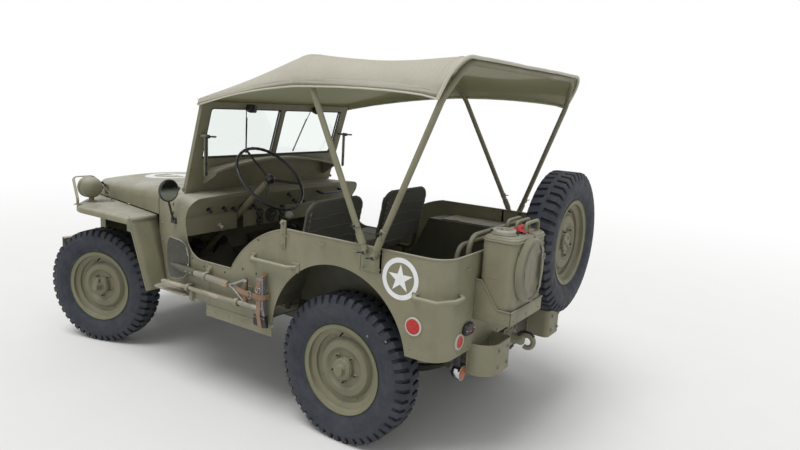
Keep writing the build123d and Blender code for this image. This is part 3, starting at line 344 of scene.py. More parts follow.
def floor_finish():
    """A matt pale floor that keeps the shadow near the object and turns white further off."""
    s = Shader("studio_floor", 0.85)
    tone = s.mix(s.noise(3, 5), (0.83, 0.83, 0.82), (0.87, 0.87, 0.86))
    away = s.node("ShaderNodeVectorMath", {0: s.where}, operation="LENGTH").outputs["Value"]
    far = s.between(away, 2.6, 9.0)
    white = s.node("ShaderNodeEmission", {"Color": (1, 1, 1), "Strength": 1.0})
    s.show_with(s.times(far, seen_directly(s.tree)), white)
    return s.finish(tone, s.bump(s.noise(60, 4), 0.001, 0.2))


# The dust share of each paint also sets how much painted top light its upward faces get
olive = paint("olive_drab", (0.205, 0.195, 0.122), (0.285, 0.27, 0.188), dust=0.6)
wheel_olive = paint("wheel_olive", (0.18, 0.17, 0.105), (0.25, 0.235, 0.16), dust=0.25, wear=0.3)
# Painted shade: the chassis olive is darkened well below the body's olive, as it sits in shade under the car
painted_shade_chassis = paint("chassis_olive", (0.06, 0.058, 0.04), (0.105, 0.095, 0.07), 0.5, 0.2, 0.75)
# Painted shade: a darkened copy of the olive for parts that sit in shade inside and under the car
painted_shade_olive = paint("shaded_olive", (0.07, 0.07, 0.045), (0.1, 0.098, 0.066), dust=0.15, wear=0.3)
engine_grey = paint("engine_paint", (0.1, 0.11, 0.08), (0.07, 0.07, 0.055), dust=0.4, rough=0.5)
# Painted highlight: the paint of the bead along the rim's lip
rim_edge_highlight = plain("rim_edge_highlight", (0.165, 0.19, 0.06), 0.5)
black_paint = plain("black_paint", (0.018, 0.019, 0.02), 0.42)
black_grip = plain("black_grip", (0.014, 0.015, 0.018), 0.32, grain=0.2)
steel = plain("bare_steel", (0.34, 0.33, 0.31), 0.42, 1.0, 0.3)
chrome = plain("chrome", (0.5, 0.5, 0.5), 0.1, 1.0, 0.08)
rust = plain("rusty_steel", (0.17, 0.085, 0.045), 0.85, 0.0, 0.45, 50, 0.001)
exhaust_steel = plain("exhaust_steel", (0.11, 0.075, 0.055), 0.8, 0.2, 0.4, 30, 0.001)
cream = plain("pale_metal", (0.52, 0.5, 0.43), 0.5, 0.0, 0.1)
marking = plain("marking_white", (0.8, 0.81, 0.8), 0.7, 0.0, 0.05, 40)
dial_face = plain("dial_face", (0.03, 0.03, 0.028), 0.3)
gasket = plain("black_rubber", (0.02, 0.02, 0.02), 0.75)
strap_leather = plain("strap_leather", (0.27, 0.16, 0.09), 0.6, 0.0, 0.3, 50, 0.0008)
black_leather = plain("black_leather", (0.02, 0.018, 0.016), 0.55, 0.0, 0.3, 60, 0.0008)
brass = plain("brass", (0.4, 0.33, 0.22), 0.5, 0.5, 0.3)
mirror_glass = plain("mirror_glass", (0.34, 0.37, 0.36), 0.04, 1.0, 0.05)
# Painted shade: the shovel blade is near black for the shade in its dish
painted_shade_blade = plain("painted_shade_blade", (0.06, 0.06, 0.048), 0.5, 0.3, 0.2)
axe_steel = plain("axe_steel", (0.235, 0.225, 0.255), 0.5, 0.6, 0.3, 40, 0.0006)
top_canvas = cloth("top_canvas", (0.66, 0.63, 0.53), (0.74, 0.71, 0.62), lit_through=(0.5, 0.5, 0.24))
hem_canvas = cloth("hem_canvas", (0.52, 0.5, 0.41), (0.6, 0.58, 0.49))
seat_canvas = cloth("seat_canvas", (0.05, 0.05, 0.036), (0.082, 0.08, 0.06))
seat_top_canvas = cloth("seat_top_canvas", (0.175, 0.17, 0.14), (0.25, 0.245, 0.21))
seat_piping = cloth("seat_piping", (0.16, 0.155, 0.12), (0.22, 0.21, 0.16))
bucket_canvas = cloth("bucket_canvas", (0.19, 0.182, 0.12), (0.255, 0.24, 0.17))
webbing = cloth("webbing", (0.17, 0.155, 0.1), (0.24, 0.22, 0.15), thread=0.003)
red_rag = cloth("red_rag", (0.55, 0.035, 0.045), (0.7, 0.08, 0.09))
tyre_black = rubber("tyre_rubber")
tool_wood = worn_wood("tool_wood")
pale_wood = worn_wood("pale_wood", (0.36, 0.33, 0.26), (0.5, 0.45, 0.36), (0.27, 0.255, 0.19))
dark_wood = worn_wood("dark_wood", (0.16, 0.08, 0.04), (0.28, 0.15, 0.08), (0.12, 0.085, 0.055))
pane_glass = clear_glass("pane_glass", (0.9, 0.95, 0.92))
lens_glass = lens("clear_lens", (0.62, 0.64, 0.62))
red_lens = lens("red_lens", (0.78, 0.016, 0.008))
amber_lens = lens("amber_lens", (0.55, 0.16, 0.05))


def place_at(origin, z_dir=(0, 0, 1), x_dir=(1, 0, 0)):
    """A matrix that carries local axes to a point, with z along z_dir and x as near x_dir as it can be."""
    z_axis = Vector(z_dir).normalized()
    y_axis = z_axis.cross(Vector(x_dir)).normalized()
    x_axis = y_axis.cross(z_axis)
    matrix = Matrix((x_axis, y_axis, z_axis)).transposed().to_4x4()
    matrix.translation = Vector(origin)
    return matrix


def shift(x, y, z):
    return Matrix.Translation((x, y, z))


def turned(degrees):
    """A turn round local z."""
    return Matrix.Rotation(math.radians(degrees), 4, "Z")


def facing_front(x, y, z):
    """A place on a face that looks forward, with local z forward and local x to the left."""
    return place_at((x, y, z), (1, 0, 0), (0, 1, 0))


def facing_back(x, y, z):
    """A place on a face that looks to the rear, with local z rearward and local x to the left."""
    return place_at((x, y, z), (-1, 0, 0), (0, 1, 0))


def facing_side(sign, x, y, z):
    """A place on a face that looks to one side, with local z outward and local x forward."""
    return place_at((x, y, z), (0, sign, 0), (1, 0, 0))


def around(at, count, radius, height=0.0, first=0.0):
    """Places evenly round local z, the first one turned from local x by a share of a pitch."""
    found = []
    for k in range(count):
        angle = 2 * math.pi * (k + first) / count
        found.append(at @ shift(radius * math.cos(angle), radius * math.sin(angle), height))
    return found


def arc(centre, radius, start, end, steps):
    """Points on a circle, as pairs, from one angle to another in degrees."""
    turns = [math.radians(angle) for angle in spread(start, end, steps)]
    return [(centre[0] + radius * math.cos(turn), centre[1] + radius * math.sin(turn)) for turn in turns]


def rounded_path(points, radius, steps=6):
    """The points with each corner replaced by a curve that starts radius before it."""
    corners = [Vector(p) for p in points]
    path = [corners[0]]
    for before, corner, after in zip(corners, corners[1:], corners[2:]):
        cut = min(radius, (before - corner).length * 0.48, (after - corner).length * 0.48)
        start = corner + (before - corner).normalized() * cut
        end = corner + (after - corner).normalized() * cut
        for t in spread(0, 1, steps):
            path.append(start * (1 - t) ** 2 + corner * 2 * t * (1 - t) + end * t ** 2)
    path.append(corners[-1])
    return path


class Form:
    """Gathers shapes and turns them into one object that rides on a body."""

    def __init__(self):
        self.mesh = bmesh.new()

    def add(self, points, faces, at=None, material=0):
        at = at or Matrix()
        made = [self.mesh.verts.new(at @ Vector(p)) for p in points]
        for face in faces:
            self.mesh.faces.new([made[i] for i in face]).material_index = material
        return made

    def grid(self, rows, at=None, material=0, closed=False, capped=False):
        """A skin over rows of points; closed joins each row's ends, capped shuts the first and last row."""
        width = len(rows[0])
        points = [p for row in rows for p in row]
        faces = []
        for r in range(len(rows) - 1):
            for c in range(width if closed else width - 1):
                d = (c + 1) % width
                faces.append((r * width + c, r * width + d, (r + 1) * width + d, (r + 1) * width + c))
        if capped:
            faces += [range(width), range(len(points) - width, len(points))]
        return self.add(points, faces, at, material)

    def lathe(self, profile, at=None, segments=32, material=0):
        """A profile of (radius, height) pairs turned about local z, closed with caps at its ends."""
        rows = [[(x, y, height) for x, y in circle(radius, segments)] for radius, height in profile]
        self.grid(rows, at, material, closed=True, capped=True)

    def prism(self, outline, depth, at=None, bevel=0.0, material=0):
        """A flat outline given depth along local z, with its edges rounded."""
        shape = bmesh.new()
        face = shape.faces.new([shape.verts.new((x, y, 0)) for x, y in outline])
        pushed = bmesh.ops.extrude_face_region(shape, geom=[face])
        for item in pushed["geom"]:
            if isinstance(item, bmesh.types.BMVert):
                item.co.z += depth
        bmesh.ops.recalc_face_normals(shape, faces=shape.faces)
        if bevel:
            sharp = [e for e in shape.edges if len(e.link_faces) == 2 and e.calc_face_angle(0) > 0.5]
            bmesh.ops.bevel(shape, geom=sharp, offset=bevel, segments=2, affect="EDGES", profile=0.5,
                            clamp_overlap=True)
        shape.verts.index_update()
        faces = [[v.index for v in f.verts] for f in shape.faces]
        self.add([v.co.copy() for v in shape.verts], faces, at, material)
        shape.free()

    def block(self, low, high, bevel=0.002, at=None, material=0):
        """A rounded block between two corners."""
        low, high = Vector(low), Vector(high)
        outline = [(low.x, low.y), (high.x, low.y), (high.x, high.y), (low.x, high.y)]
        self.prism(outline, high.z - low.z, (at or Matrix()) @ shift(0, 0, low.z), bevel, material)

    def tube(self, path, radius, segments=10, material=0, flat=1.0, closed=False, radii=None):
        """A round or flattened bar along a path."""
        path = [Vector(p) for p in path]
        count = len(path)
        rows = []
        side = None
        for i, point in enumerate(path):
            before = path[(i - 1) % count] if closed or i else path[0]
            after = path[(i + 1) % count] if closed or i < count - 1 else path[-1]
            along = (after - before).normalized()
            if side is None:
                side = along.orthogonal().normalized()
            side = (side - along * side.dot(along)).normalized()
            other = along.cross(side)
            size = radii[i] if radii else radius
            rows.append([point + side * size * x + other * size * flat * y for x, y in circle(1, segments)])
        if closed:
            rows.append(rows[0])
        self.grid(rows, None, material, closed=True, capped=not closed)

    def strap(self, path, width, thickness, across, material=0):
        """A flat band along a path, its width lying along across."""
        path = [Vector(p) for p in path]
        across = Vector(across).normalized()
        rows = []
        for i, point in enumerate(path):
            along = (path[min(i + 1, len(path) - 1)] - path[max(i - 1, 0)]).normalized()
            out = along.cross(across).normalized()
            rows.append([point + across * width / 2 * a + out * thickness / 2 * b
                         for a, b in ((-1, -1), (1, -1), (1, 1), (-1, 1))])
        self.grid(rows, None, material, closed=True, capped=True)

    def bolt(self, at, size=0.006, material=0):
        """A hexagon head on a round washer, standing on local z."""
        self.lathe([(size * 1.55, 0), (size * 1.55, size * 0.2)], at, 14, material)
        self.lathe([(size, size * 0.2), (size, size * 0.8), (size * 0.86, size)], at, 6, material)

    def rivet(self, at, size=0.005, material=0):
        """A low round head on local z."""
        profile = ((1, 0), (0.92, 0.3), (0.55, 0.55), (0.15, 0.6))
        self.lathe([(size * r, size * h) for r, h in profile], at, 10, material)

    def object(self, name, materials, body="root", angle=38, replaced=()):
        """Ends the form: one object with its materials, body and the nodes it replaces."""
        bmesh.ops.remove_doubles(self.mesh, verts=self.mesh.verts, dist=1e-6)
        bmesh.ops.recalc_face_normals(self.mesh, faces=self.mesh.faces)
        data = bpy.data.meshes.new(name)
        self.mesh.to_mesh(data)
        self.mesh.free()
        data.polygons.foreach_set("use_smooth", [True] * len(data.polygons))
        data.set_sharp_from_angle(angle=math.radians(angle))
        made = new_object(name, data)
        for material in materials if isinstance(materials, (list, tuple)) else [materials]:
            data.materials.append(material)
        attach(made, body)
        if replaced:
            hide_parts(*replaced)
        return made


# Chassis nodes take the chassis olive darkened as painted shade
node_finishes = {
    "olive_paint": olive, "chassis_paint": painted_shade_chassis, "engine_paint": engine_grey,
    "painted_black": black_paint, "exhaust_steel": exhaust_steel, "tyre_rubber": tyre_black,
    "top_canvas": top_canvas, "bucket_canvas": bucket_canvas, "seat_canvas": seat_canvas,
    "window_glass": pane_glass, "wheel_plastic": black_grip, "lamp_red": red_lens,
}
road_wheels = ("front_left", "front_right", "rear_left", "rear_right")
own_finishes = {f"wheel_{place}": wheel_olive for place in (*road_wheels, "spare")}
# The tub floor and seat frames take the olive darkened as painted shade
own_finishes.update(dict.fromkeys(("tub_floor", "driver_seat_frame", "passenger_seat_frame"), painted_shade_olive))


def finish_nodes():
    """Gives every carried-over node its finish by its slot, or its own."""
    slots = {part["node"]: part["material_slot"] for part in frame["record"]["subparts"]}
    for name, node in nodes.items():
        finish = own_finishes.get(name, node_finishes[slots[name]])
        for slot in node.material_slots:
            slot.material = finish


def wheel_matrices():
    """Where each wheel stands, read from its joint or from the spare tyre's box."""
    found = {}
    for place in road_wheels:
        joint = joints[f"spin_{place}"]
        side = -1 if place.endswith("right") else 1
        found[place] = place_at(joint["pos_m"], Vector(joint["axis"]) * side, (0, 0, 1))
    low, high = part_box("tyre_spare")
    found["spare"] = place_at((low + high) / 2, (-1, 0, 0), (0, 0, 1))
    return found


lug_count = 46
slot_depth = 0.0125
bar_lean = 0.22
rib_half = 0.0095
shoulder_from = 0.064
tyre_half_profile = [
    # (half width, radius, depth of the slots there)
    (0.054, 0.2062, 0), (0.0575, 0.215, 0), (0.0592, 0.2235, 0), (0.0618, 0.23, 0), (0.0645, 0.235, 0),
    (0.065, 0.24, 0), (0.069, 0.245, 0), (0.0744, 0.255, 0), (0.0777, 0.265, 0), (0.0795, 0.272, 0),
    (0.0799, 0.276, 0), (0.081, 0.28, 0), (0.0823, 0.29, 0), (0.082, 0.302, 0), (0.0806, 0.311, 0),
    (0.0815, 0.3135, 0), (0.0808, 0.3185, 0), (0.0796, 0.3205, 0), (0.0784, 0.328, 0),
    (0.0768, 0.3335, 0.006), (0.0738, 0.343, 0.01), (0.0702, 0.352, 0.012), (0.0654, 0.3612, 0.0125),
    (0.0628, 0.3655, 0.0125), (0.048, 0.366, 0.0125), (0.033, 0.366, 0.0125), (0.0175, 0.366, 0.0125),
    (0.0135, 0.366, 0.011), (0.01, 0.366, 0),
]
slot_columns = [
    # (share of a pitch, cut on the outer side, cut on the inner side)
    (0.0, 0, 0), (0.04, 0, 0), (0.09, 1, 0), (0.4, 1, 0), (0.45, 0, 0),
    (0.5, 0, 0), (0.54, 0, 0), (0.59, 0, 1), (0.9, 0, 1), (0.95, 0, 0),
]


def make_tyre(name, at, body):
    """A cross-country tyre: bars from each shoulder that meet in a staggered centre rib."""
    profile = tyre_half_profile + [(-w, r, d) for w, r, d in reversed(tyre_half_profile)]
    form = Form()
    # Each point's slot depth, kept for the rubber's painted shade in the slots
    slot_shade = form.mesh.verts.layers.float.new("slot_shade")
    rows = []
    depths = []
    for width, radius, depth in profile:
        slant = bar_lean * clamp((abs(width) - rib_half) / 0.05)
        row = []
        for lug in range(lug_count):
            for share, outer_cut, inner_cut in slot_columns:
                cut = depth * (outer_cut if width > 0 else inner_cut)
                angle = 2 * math.pi * (lug + share + slant) / lug_count
                sideways = 0.55 if abs(width) > shoulder_from else 0.0
                r = radius - cut * (1 - sideways * 0.4)
                w = width - math.copysign(cut * sideways, width)
                row.append((r * math.cos(angle), r * math.sin(angle), w))
                depths.append(min(1, cut / slot_depth))
        rows.append(row)
    made = form.grid(rows + [rows[0]], at, closed=True)
    for vertex, depth in zip(made, depths + depths[:len(rows[0])]):
        vertex[slot_shade] = depth
    form.object(name + "_detailed", tyre_black, body, 50, [name])


def make_wheel_fittings(place, at, body):
    """Nuts, hub flange and cap, valve, rivets and the painted highlight bead on the rim of a disc wheel."""
    form = Form()
    for spot in around(at, 5, 0.0705, 0.0235, 0.5):
        form.bolt(spot, 0.0105, 1)
        form.lathe([(0.0045, 0.008), (0.0045, 0.019), (0.003, 0.021)], spot, 8, 2)
    if place != "spare":
        form.lathe([(0.0545, 0.04), (0.0545, 0.046), (0.05, 0.0475), (0.046, 0.0475), (0.044, 0.056),
                    (0.03, 0.0595)], at, 36)
        for spot in around(at, 6, 0.0465, 0.047):
            form.bolt(spot, 0.0062, 1)
        if place.startswith("front"):
            form.lathe([(0.03, 0.058), (0.029, 0.066), (0.022, 0.072), (0.0205, 0.098), (0.018, 0.104),
                        (0.006, 0.1055)], at, 28)
            form.prism([(0.018, -0.006), (0.052, -0.007), (0.052, 0.007), (0.018, 0.006)], 0.012,
                       at @ shift(0, 0, 0.062), 0.002)
        else:
            form.lathe([(0.03, 0.058), (0.028, 0.066), (0.02, 0.0685), (0.012, 0.0685), (0.011, 0.076),
                        (0.003, 0.078)], at, 28)
    stem = [at @ Vector(p) for p in ((0.176, 0.02, 0.02), (0.168, 0.02, 0.036), (0.16, 0.02, 0.052))]
    form.tube(stem, 0.0042, 10, 2, radii=[0.0055, 0.0045, 0.0042])
    for spot in around(at, 4, 0.16, 0.0125, 0.3):
        form.rivet(spot, 0.006)
    # A painted highlight: a bead on the rim's lip in its own paint
    ring(form, at @ shift(0, 0, 0.0628), 0.2205, 0.0022, 3, 72)
    form.object(f"fittings_{place}", [wheel_olive, wheel_olive, black_paint, rim_edge_highlight], body)


# Canvas top: stations along the car that follow the solid's outer face
rear_edge_x = -1.462
middle_bow_x = -0.64
front_edge_x = 0.165
lowest_hem_z = 1.56
cloth_thickness = 0.0016
canopy_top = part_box("canopy")[1].z
canopy_stations = [
    # (x, half width, hem z, top z, shoulder radius)
    (rear_edge_x, 0.738, 1.657, canopy_top, 0.118),
    (middle_bow_x, 0.76, 1.682, canopy_top, 0.118),
    (front_edge_x, 0.64, lowest_hem_z, 1.598, 0.024),
]
canvas_sag = {"rear": 0.03, "front": 0.012}
canvas_steps = 90


def canopy_row(x, columns):
    """Points across the canvas at x, from the left hem over the top to the right hem."""
    span, first = ("rear", 0) if x <= middle_bow_x else ("front", 1)
    rear, front = canopy_stations[first:first + 2]
    t = (x - rear[0]) / (front[0] - rear[0])
    half, hem, top, radius = (rear[i] + (front[i] - rear[i]) * t for i in range(1, 5))
    droop = math.sin(math.pi * t) ** 1.3 * canvas_sag[span]
    hem += 0.016 * math.sin(math.pi * t)
    side = top - radius - hem
    bend = radius * math.pi / 2
    flat = half - radius
    total = side + bend + flat
    row = []
    for k in range(columns + 1):
        s = abs(1 - 2 * k / columns)
        sign = 1 if k <= columns / 2 else -1
        run = (1 - s) * total
        if run < side:
            y, z = half, hem + run
            y -= droop * 0.5 * (0.3 + run / max(side, 1e-6)) * 0.8
        elif run < side + bend:
            angle = (run - side) / radius
            y, z = half - radius + radius * math.cos(angle), top - radius + radius * math.sin(angle)
            y -= droop * 0.45 * math.cos(angle)
            z -= droop * 0.8 * math.sin(angle)
        else:
            y, z = flat - (run - side - bend), top
            z -= droop * (0.8 + 0.2 * math.cos(y / half * math.pi / 2))
        row.append(Vector((x, sign * y, z)))
    return row


def moved(path, forward, up=0.0):
    """A path's points set forward and up."""
    return [p + Vector((forward, 0, up)) for p in path]


def make_canopy():
    """The canvas top as one stretched sheet with its hems, piping and seams."""
    inside = 0.0016
    stations = spread(rear_edge_x, front_edge_x, canvas_steps)
    rows = []
    for x in stations:
        row = []
        for point in canopy_row(x, 96):
            drop = clamp((canopy_top - point.z) / 0.175)
            back = clamp((-1.3 - x) / 0.16)
            place = point + Vector((0.085 * drop * back, 0, 0))
            ripple = noise.noise(Vector((x * 2.2, point.y * 5.0, point.z * 5.0)))
            crease = noise.noise(Vector((x * 9.0 + point.y * 4, point.y * 3.0, 4.0)))
            place.z -= inside + 0.004 * max(0, ripple) + 0.0015 * abs(crease)
            place.y *= 1 - 0.006 * (0.5 + 0.5 * ripple) * drop - inside
            row.append(place)
        rows.append(row)
    for forward, down in ((0.0035, 0.004), (0.0055, 0.012), (0.0065, 0.024), (0.006, 0.034)):
        rows.append([Vector((p.x + forward, p.y, max(lowest_hem_z, p.z - down))) for p in rows[canvas_steps]])
    form = Form()
    form.grid(rows)
    sheet = form.object("canvas_top", top_canvas, "root", 60, ["canopy"])
    thicken(sheet, cloth_thickness)
    hems = Form()
    for side in (0, -1):
        line = [row[side] for row in rows]
        hems.tube(line, 0.0042, 8)
        hems.tube(moved(line, 0, 0.03), 0.0012, 6)
    hems.tube(rows[0], 0.0075, 10)
    hems.tube(moved(rows[0][4:-4], 0.045), 0.0013, 6)
    hems.tube(moved(rows[-1][2:-2], -0.012, 0.002), 0.006, 8)
    middle = min(range(len(stations)), key=lambda i: abs(stations[i] - middle_bow_x))
    for row in (rows[middle - 2], rows[middle + 2]):
        hems.tube(moved(row, 0, 0.001), 0.0013, 6)
    trim = hems.object("canvas_hems", hem_canvas, "root", 60)


seam_reach = 0.03
voxel = 0.007


def make_pad(name, size, at, body, replaced, seams, puff, finish=seat_canvas):
    """A padded cushion: a soft block blown up as cloth, then sewn across at shares of its length."""
    width, length, thick = (s / 2 - 0.004 for s in size)
    form = bmesh.new()
    bmesh.ops.create_cube(form, size=2)
    for vertex in form.verts:
        vertex.co = Vector((vertex.co.x * width, vertex.co.y * length, vertex.co.z * thick * 0.8))
    round_off = min(width, length, thick) * 0.55
    bmesh.ops.bevel(form, geom=form.edges, offset=round_off, segments=3, affect="EDGES")
    data = bpy.data.meshes.new(name)
    form.to_mesh(data)
    form.free()
    made = new_object(name, data)
    remesh = made.modifiers.new("even_faces", "REMESH")
    remesh.mode = "VOXEL"
    remesh.voxel_size = voxel
    apply_modifiers(made)
    rest = [v.co.copy() for v in made.data.vertices]
    inflate(made)
    for vertex, start in zip(made.data.vertices, rest):
        grown = vertex.co - start
        if grown.length > puff:
            vertex.co = start + grown.normalized() * puff
    for vertex in made.data.vertices:
        here = vertex.co
        rim = min(1, (width + puff - abs(here.x)) / 0.05) if width > 0.05 else 1
        for share in seams:
            gap = abs(here.y - share * length)
            if gap < seam_reach:
                here.z *= 1 - 0.3 * (1 - (gap / seam_reach) ** 0.7) * max(0, rim)
        wrinkle = noise.noise(Vector((here.x * 14, here.y * 14, here.z * 9)))
        here += here.normalized() * 0.0016 * wrinkle
        limit = Vector(size) / 2 - Vector((0.0004,) * 3)
        vertex.co = Vector(max(-m, min(m, c)) for c, m in zip(here, limit))
    made.data.transform(at)
    made.data.polygons.foreach_set("use_smooth", [True] * len(made.data.polygons))
    made.data.materials.clear()
    made.data.materials.append(finish)
    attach(made, body)
    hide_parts(replaced)


def apply_modifiers(thing):
    """Replaces a mesh by what its modifiers make of it."""
    graph = bpy.context.evaluated_depsgraph_get()
    shaped = bpy.data.meshes.new_from_object(thing.evaluated_get(graph), depsgraph=graph)
    thing.modifiers.clear()
    thing.data = shaped


def inflate(thing):
    """Blows a closed mesh up as cloth for a few frames and keeps the result."""
    frames = 20
    air = thing.modifiers.new("air", "CLOTH")
    air.settings.use_pressure = True
    air.settings.uniform_pressure_force = 4
    air.settings.effector_weights.gravity = 0
    air.settings.quality = 4
    air.point_cache.frame_start = 1
    air.point_cache.frame_end = frames
    for step in range(1, frames + 1):
        bpy.context.scene.frame_set(step)
    apply_modifiers(thing)
    bpy.context.scene.frame_set(1)


def make_star(name, at, radius, body, surface=None):
    """A plain five-point star in a ring, laid as thin paint on a panel."""
    form = Form()
    lift = 0.0007
    inner = radius * 0.765
    rows = [[(x, y, lift) for x, y in circle(r, 72)] for r in spread(radius, inner, 2)]
    form.grid(rows, at, closed=True)
    tip = radius * 0.7
    notch = tip * 0.382
    corners = []
    for k in range(10):
        r = tip if k % 2 == 0 else notch
        angle = math.pi / 2 + math.pi * k / 5
        corners.append(Vector((r * math.cos(angle), r * math.sin(angle), lift)))
    steps = spread(0, 1, 6)
    for first, second in zip(corners, corners[1:] + corners[:1]):
        rows = [[first * out * (1 - over) + second * out * over + Vector((0, 0, lift)) * (1 - out)
                 for over in steps] for out in steps]
        form.grid(rows, at)
    if surface is not None:
        tree = BVHTree.FromObject(surface, bpy.context.evaluated_depsgraph_get())
        for vertex in form.mesh.verts:
            hit = tree.ray_cast(vertex.co + Vector((0, 0, 0.2)), Vector((0, 0, -1)))
            if hit[0] is not None:
                vertex.co.z = hit[0].z + lift
    form.object(name, marking, body, angle=30)


def make_edge_bead():
    """The rolled rim along the tub's top edge and round the door openings."""
    form = Form()
    r = 0.0055
    for sign in (1, -1):
        y = sign * (side_y - 0.002)
        corner = [(x, sign * y, tub_top) for x, y in arc((tub_rear + 0.1, side_y - 0.1), 0.098, 90, 180, 8)]
        top = [(-0.6, y, tub_top), (-1.0, y, tub_top)] + corner + [(tub_rear + 0.002, 0, tub_top)]
        form.tube(top, r, 10)
        opening = [(-0.6, y, tub_top)]
        edge = circle_through((-0.6, tub_top), (-0.345, 0.893), (-0.215, 0.742), 14)[1:]
        edge += circle_through((0.0, 0.742), (0.092, 0.775), (0.133, 0.84), 10)
        opening += [(x, y, z) for x, z in edge]
        opening += [(0.15, sign * (side_y - 0.008), 0.905)]
        form.tube(opening, r * 0.8, 8)
    form.object("edge_bead", olive, angle=60)


def circle_through(first, middle, last, steps):
    """Points on the circle through three points, from the first to the last."""
    (ax, ay), (bx, by), (cx, cy) = first, middle, last
    d = 2 * (ax * (by - cy) + bx * (cy - ay) + cx * (ay - by))
    a, b, c = (x ** 2 + y ** 2 for x, y in (first, middle, last))
    ux = (a * (by - cy) + b * (cy - ay) + c * (ay - by)) / d
    uy = (a * (cx - bx) + b * (ax - cx) + c * (bx - ax)) / d
    radius = math.hypot(ax - ux, ay - uy)
    start, through, end = (math.atan2(y - uy, x - ux) for x, y in (first, middle, last))
    turn = (end - start) % (2 * math.pi)
    if (through - start) % (2 * math.pi) > turn:
        turn -= 2 * math.pi
    return arc((ux, uy), radius, math.degrees(start), math.degrees(start + turn), steps)


def make_studio():
    """Pale floor, even world light and one large soft sun."""
    data = bpy.data.meshes.new("studio_floor")
    reach = 40
    corners = [(-reach, -reach, 0), (reach, -reach, 0), (reach, reach, 0), (-reach, reach, 0)]
    data.from_pydata(corners, [], [(0, 1, 2, 3)])
    data.materials.append(floor_finish())
    floor = new_object("studio_floor", data)
    world = bpy.data.worlds.new("studio")
    bpy.context.scene.world = world
    world.use_nodes = True
    tree = world.node_tree
    inputs = {"Value": seen_directly(tree), "To Min": 0.5, "To Max": 1.0}
    strength = add_node(tree, "ShaderNodeMapRange", inputs).outputs["Result"]
    feed(tree.nodes["Background"].inputs["Strength"], strength)
    feed(tree.nodes["Background"].inputs["Color"], (1, 1, 1))
    sun = bpy.data.lights.new("soft_sun", "SUN")
    sun.energy = 1.75
    sun.angle = math.radians(35)
    lamp = new_object("soft_sun", sun)
    lamp.rotation_euler = Vector((-0.08, -0.34, -1.0)).to_track_quat("-Z", "Y").to_euler()
    bpy.context.scene.view_settings.view_transform = "Standard"


side_taper_x = 0.13
side_taper = 0.3286


def side_at(x):
    """How far out the tub's side lies at x."""
    return side_y - max(0, x - side_taper_x) * side_taper


def on_side(sign, x, z, lift=0.0):
    """A place on the tub's side, with local z outward and local x forward."""
    return facing_side(sign, x, sign * (side_at(x) + lift), z)


def footman_loop(form, at):
    """A wire loop for a strap, its feet on local x."""
    points = [(-0.016, 0, 0.002), (-0.013, 0, 0.01), (0.013, 0, 0.01), (0.016, 0, 0.002)]
    form.tube(rounded_path([at @ Vector(p) for p in points], 0.005), 0.0026, 8)


def ring(form, at, radius, thickness, material=0, segments=48, flat=1.0):
    """A bead bent into a circle round local z."""
    path = [at @ Vector((x, y, 0)) for x, y in arc((0, 0), radius, 0, 360, segments)[:-1]]
    form.tube(path, thickness, 8, material, flat, closed=True)


def wing_nut(form, at, size=0.012, material=0):
    """A hub with two thin ears that lean out from it."""
    form.lathe([(size * 0.75, 0), (size * 0.62, size * 0.9), (size * 0.4, size * 1.1)], at, 12, material)
    for sign in (1, -1):
        line = ((0.4, 0.5), (1.1, 1.1), (1.7, 1.9), (1.8, 2.5))
        ear = [at @ Vector((sign * size * a, 0, size * b)) for a, b in line]
        form.tube(ear, size * 0.5, 8, material, 0.4, radii=[size * s for s in (0.35, 0.5, 0.55, 0.3)])


def buckle(form, at, width, material):
    """A square wire loop with a tongue, lying on local x and y."""
    half = width / 2 + 0.004
    corners = [(-half, -0.012), (half, -0.012), (half, 0.012), (-half, 0.012)]
    path = []
    for (ax, ay), (bx, by) in zip(corners, corners[1:] + corners[:1]):
        path += [at @ Vector((ax + (bx - ax) * t, ay + (by - ay) * t, 0.003)) for t in (0.15, 0.5, 0.85)]
    form.tube(path, 0.0021, 8, material, closed=True)
    form.tube([at @ Vector((0, -0.012, 0.004)), at @ Vector((0, 0.014, 0.005))], 0.0016, 6, material)


def thicken(piece, thickness, offset=0.0):
    """Gives a thin skin its thickness."""
    solid = piece.modifiers.new("thickness", "SOLIDIFY")
    solid.thickness = thickness
    solid.offset = offset


can_foot = 0.7125
can_top = 1.088
can_middle = Vector((-1.5725, 0.2975, 0))
can_cap = Vector((-1.548, 0.362, can_top))
can_bars = (-1.6165, -1.5725, -1.5285)
can_half = (0.0825, 0.1725)


def rounded_rectangle(centre, half_x, half_y, radius, z, steps=8):
    """A closed path round a rectangle with rounded corners, at one height."""
    path = []
    for quarter, (sx, sy) in enumerate(((1, 1), (-1, 1), (-1, -1), (1, -1))):
        middle = (centre.x + sx * (half_x - radius), centre.y + sy * (half_y - radius))
        path += [Vector((x, y, z)) for x, y in arc(middle, radius, 90 * quarter, 90 * quarter + 90, steps)]
    return path


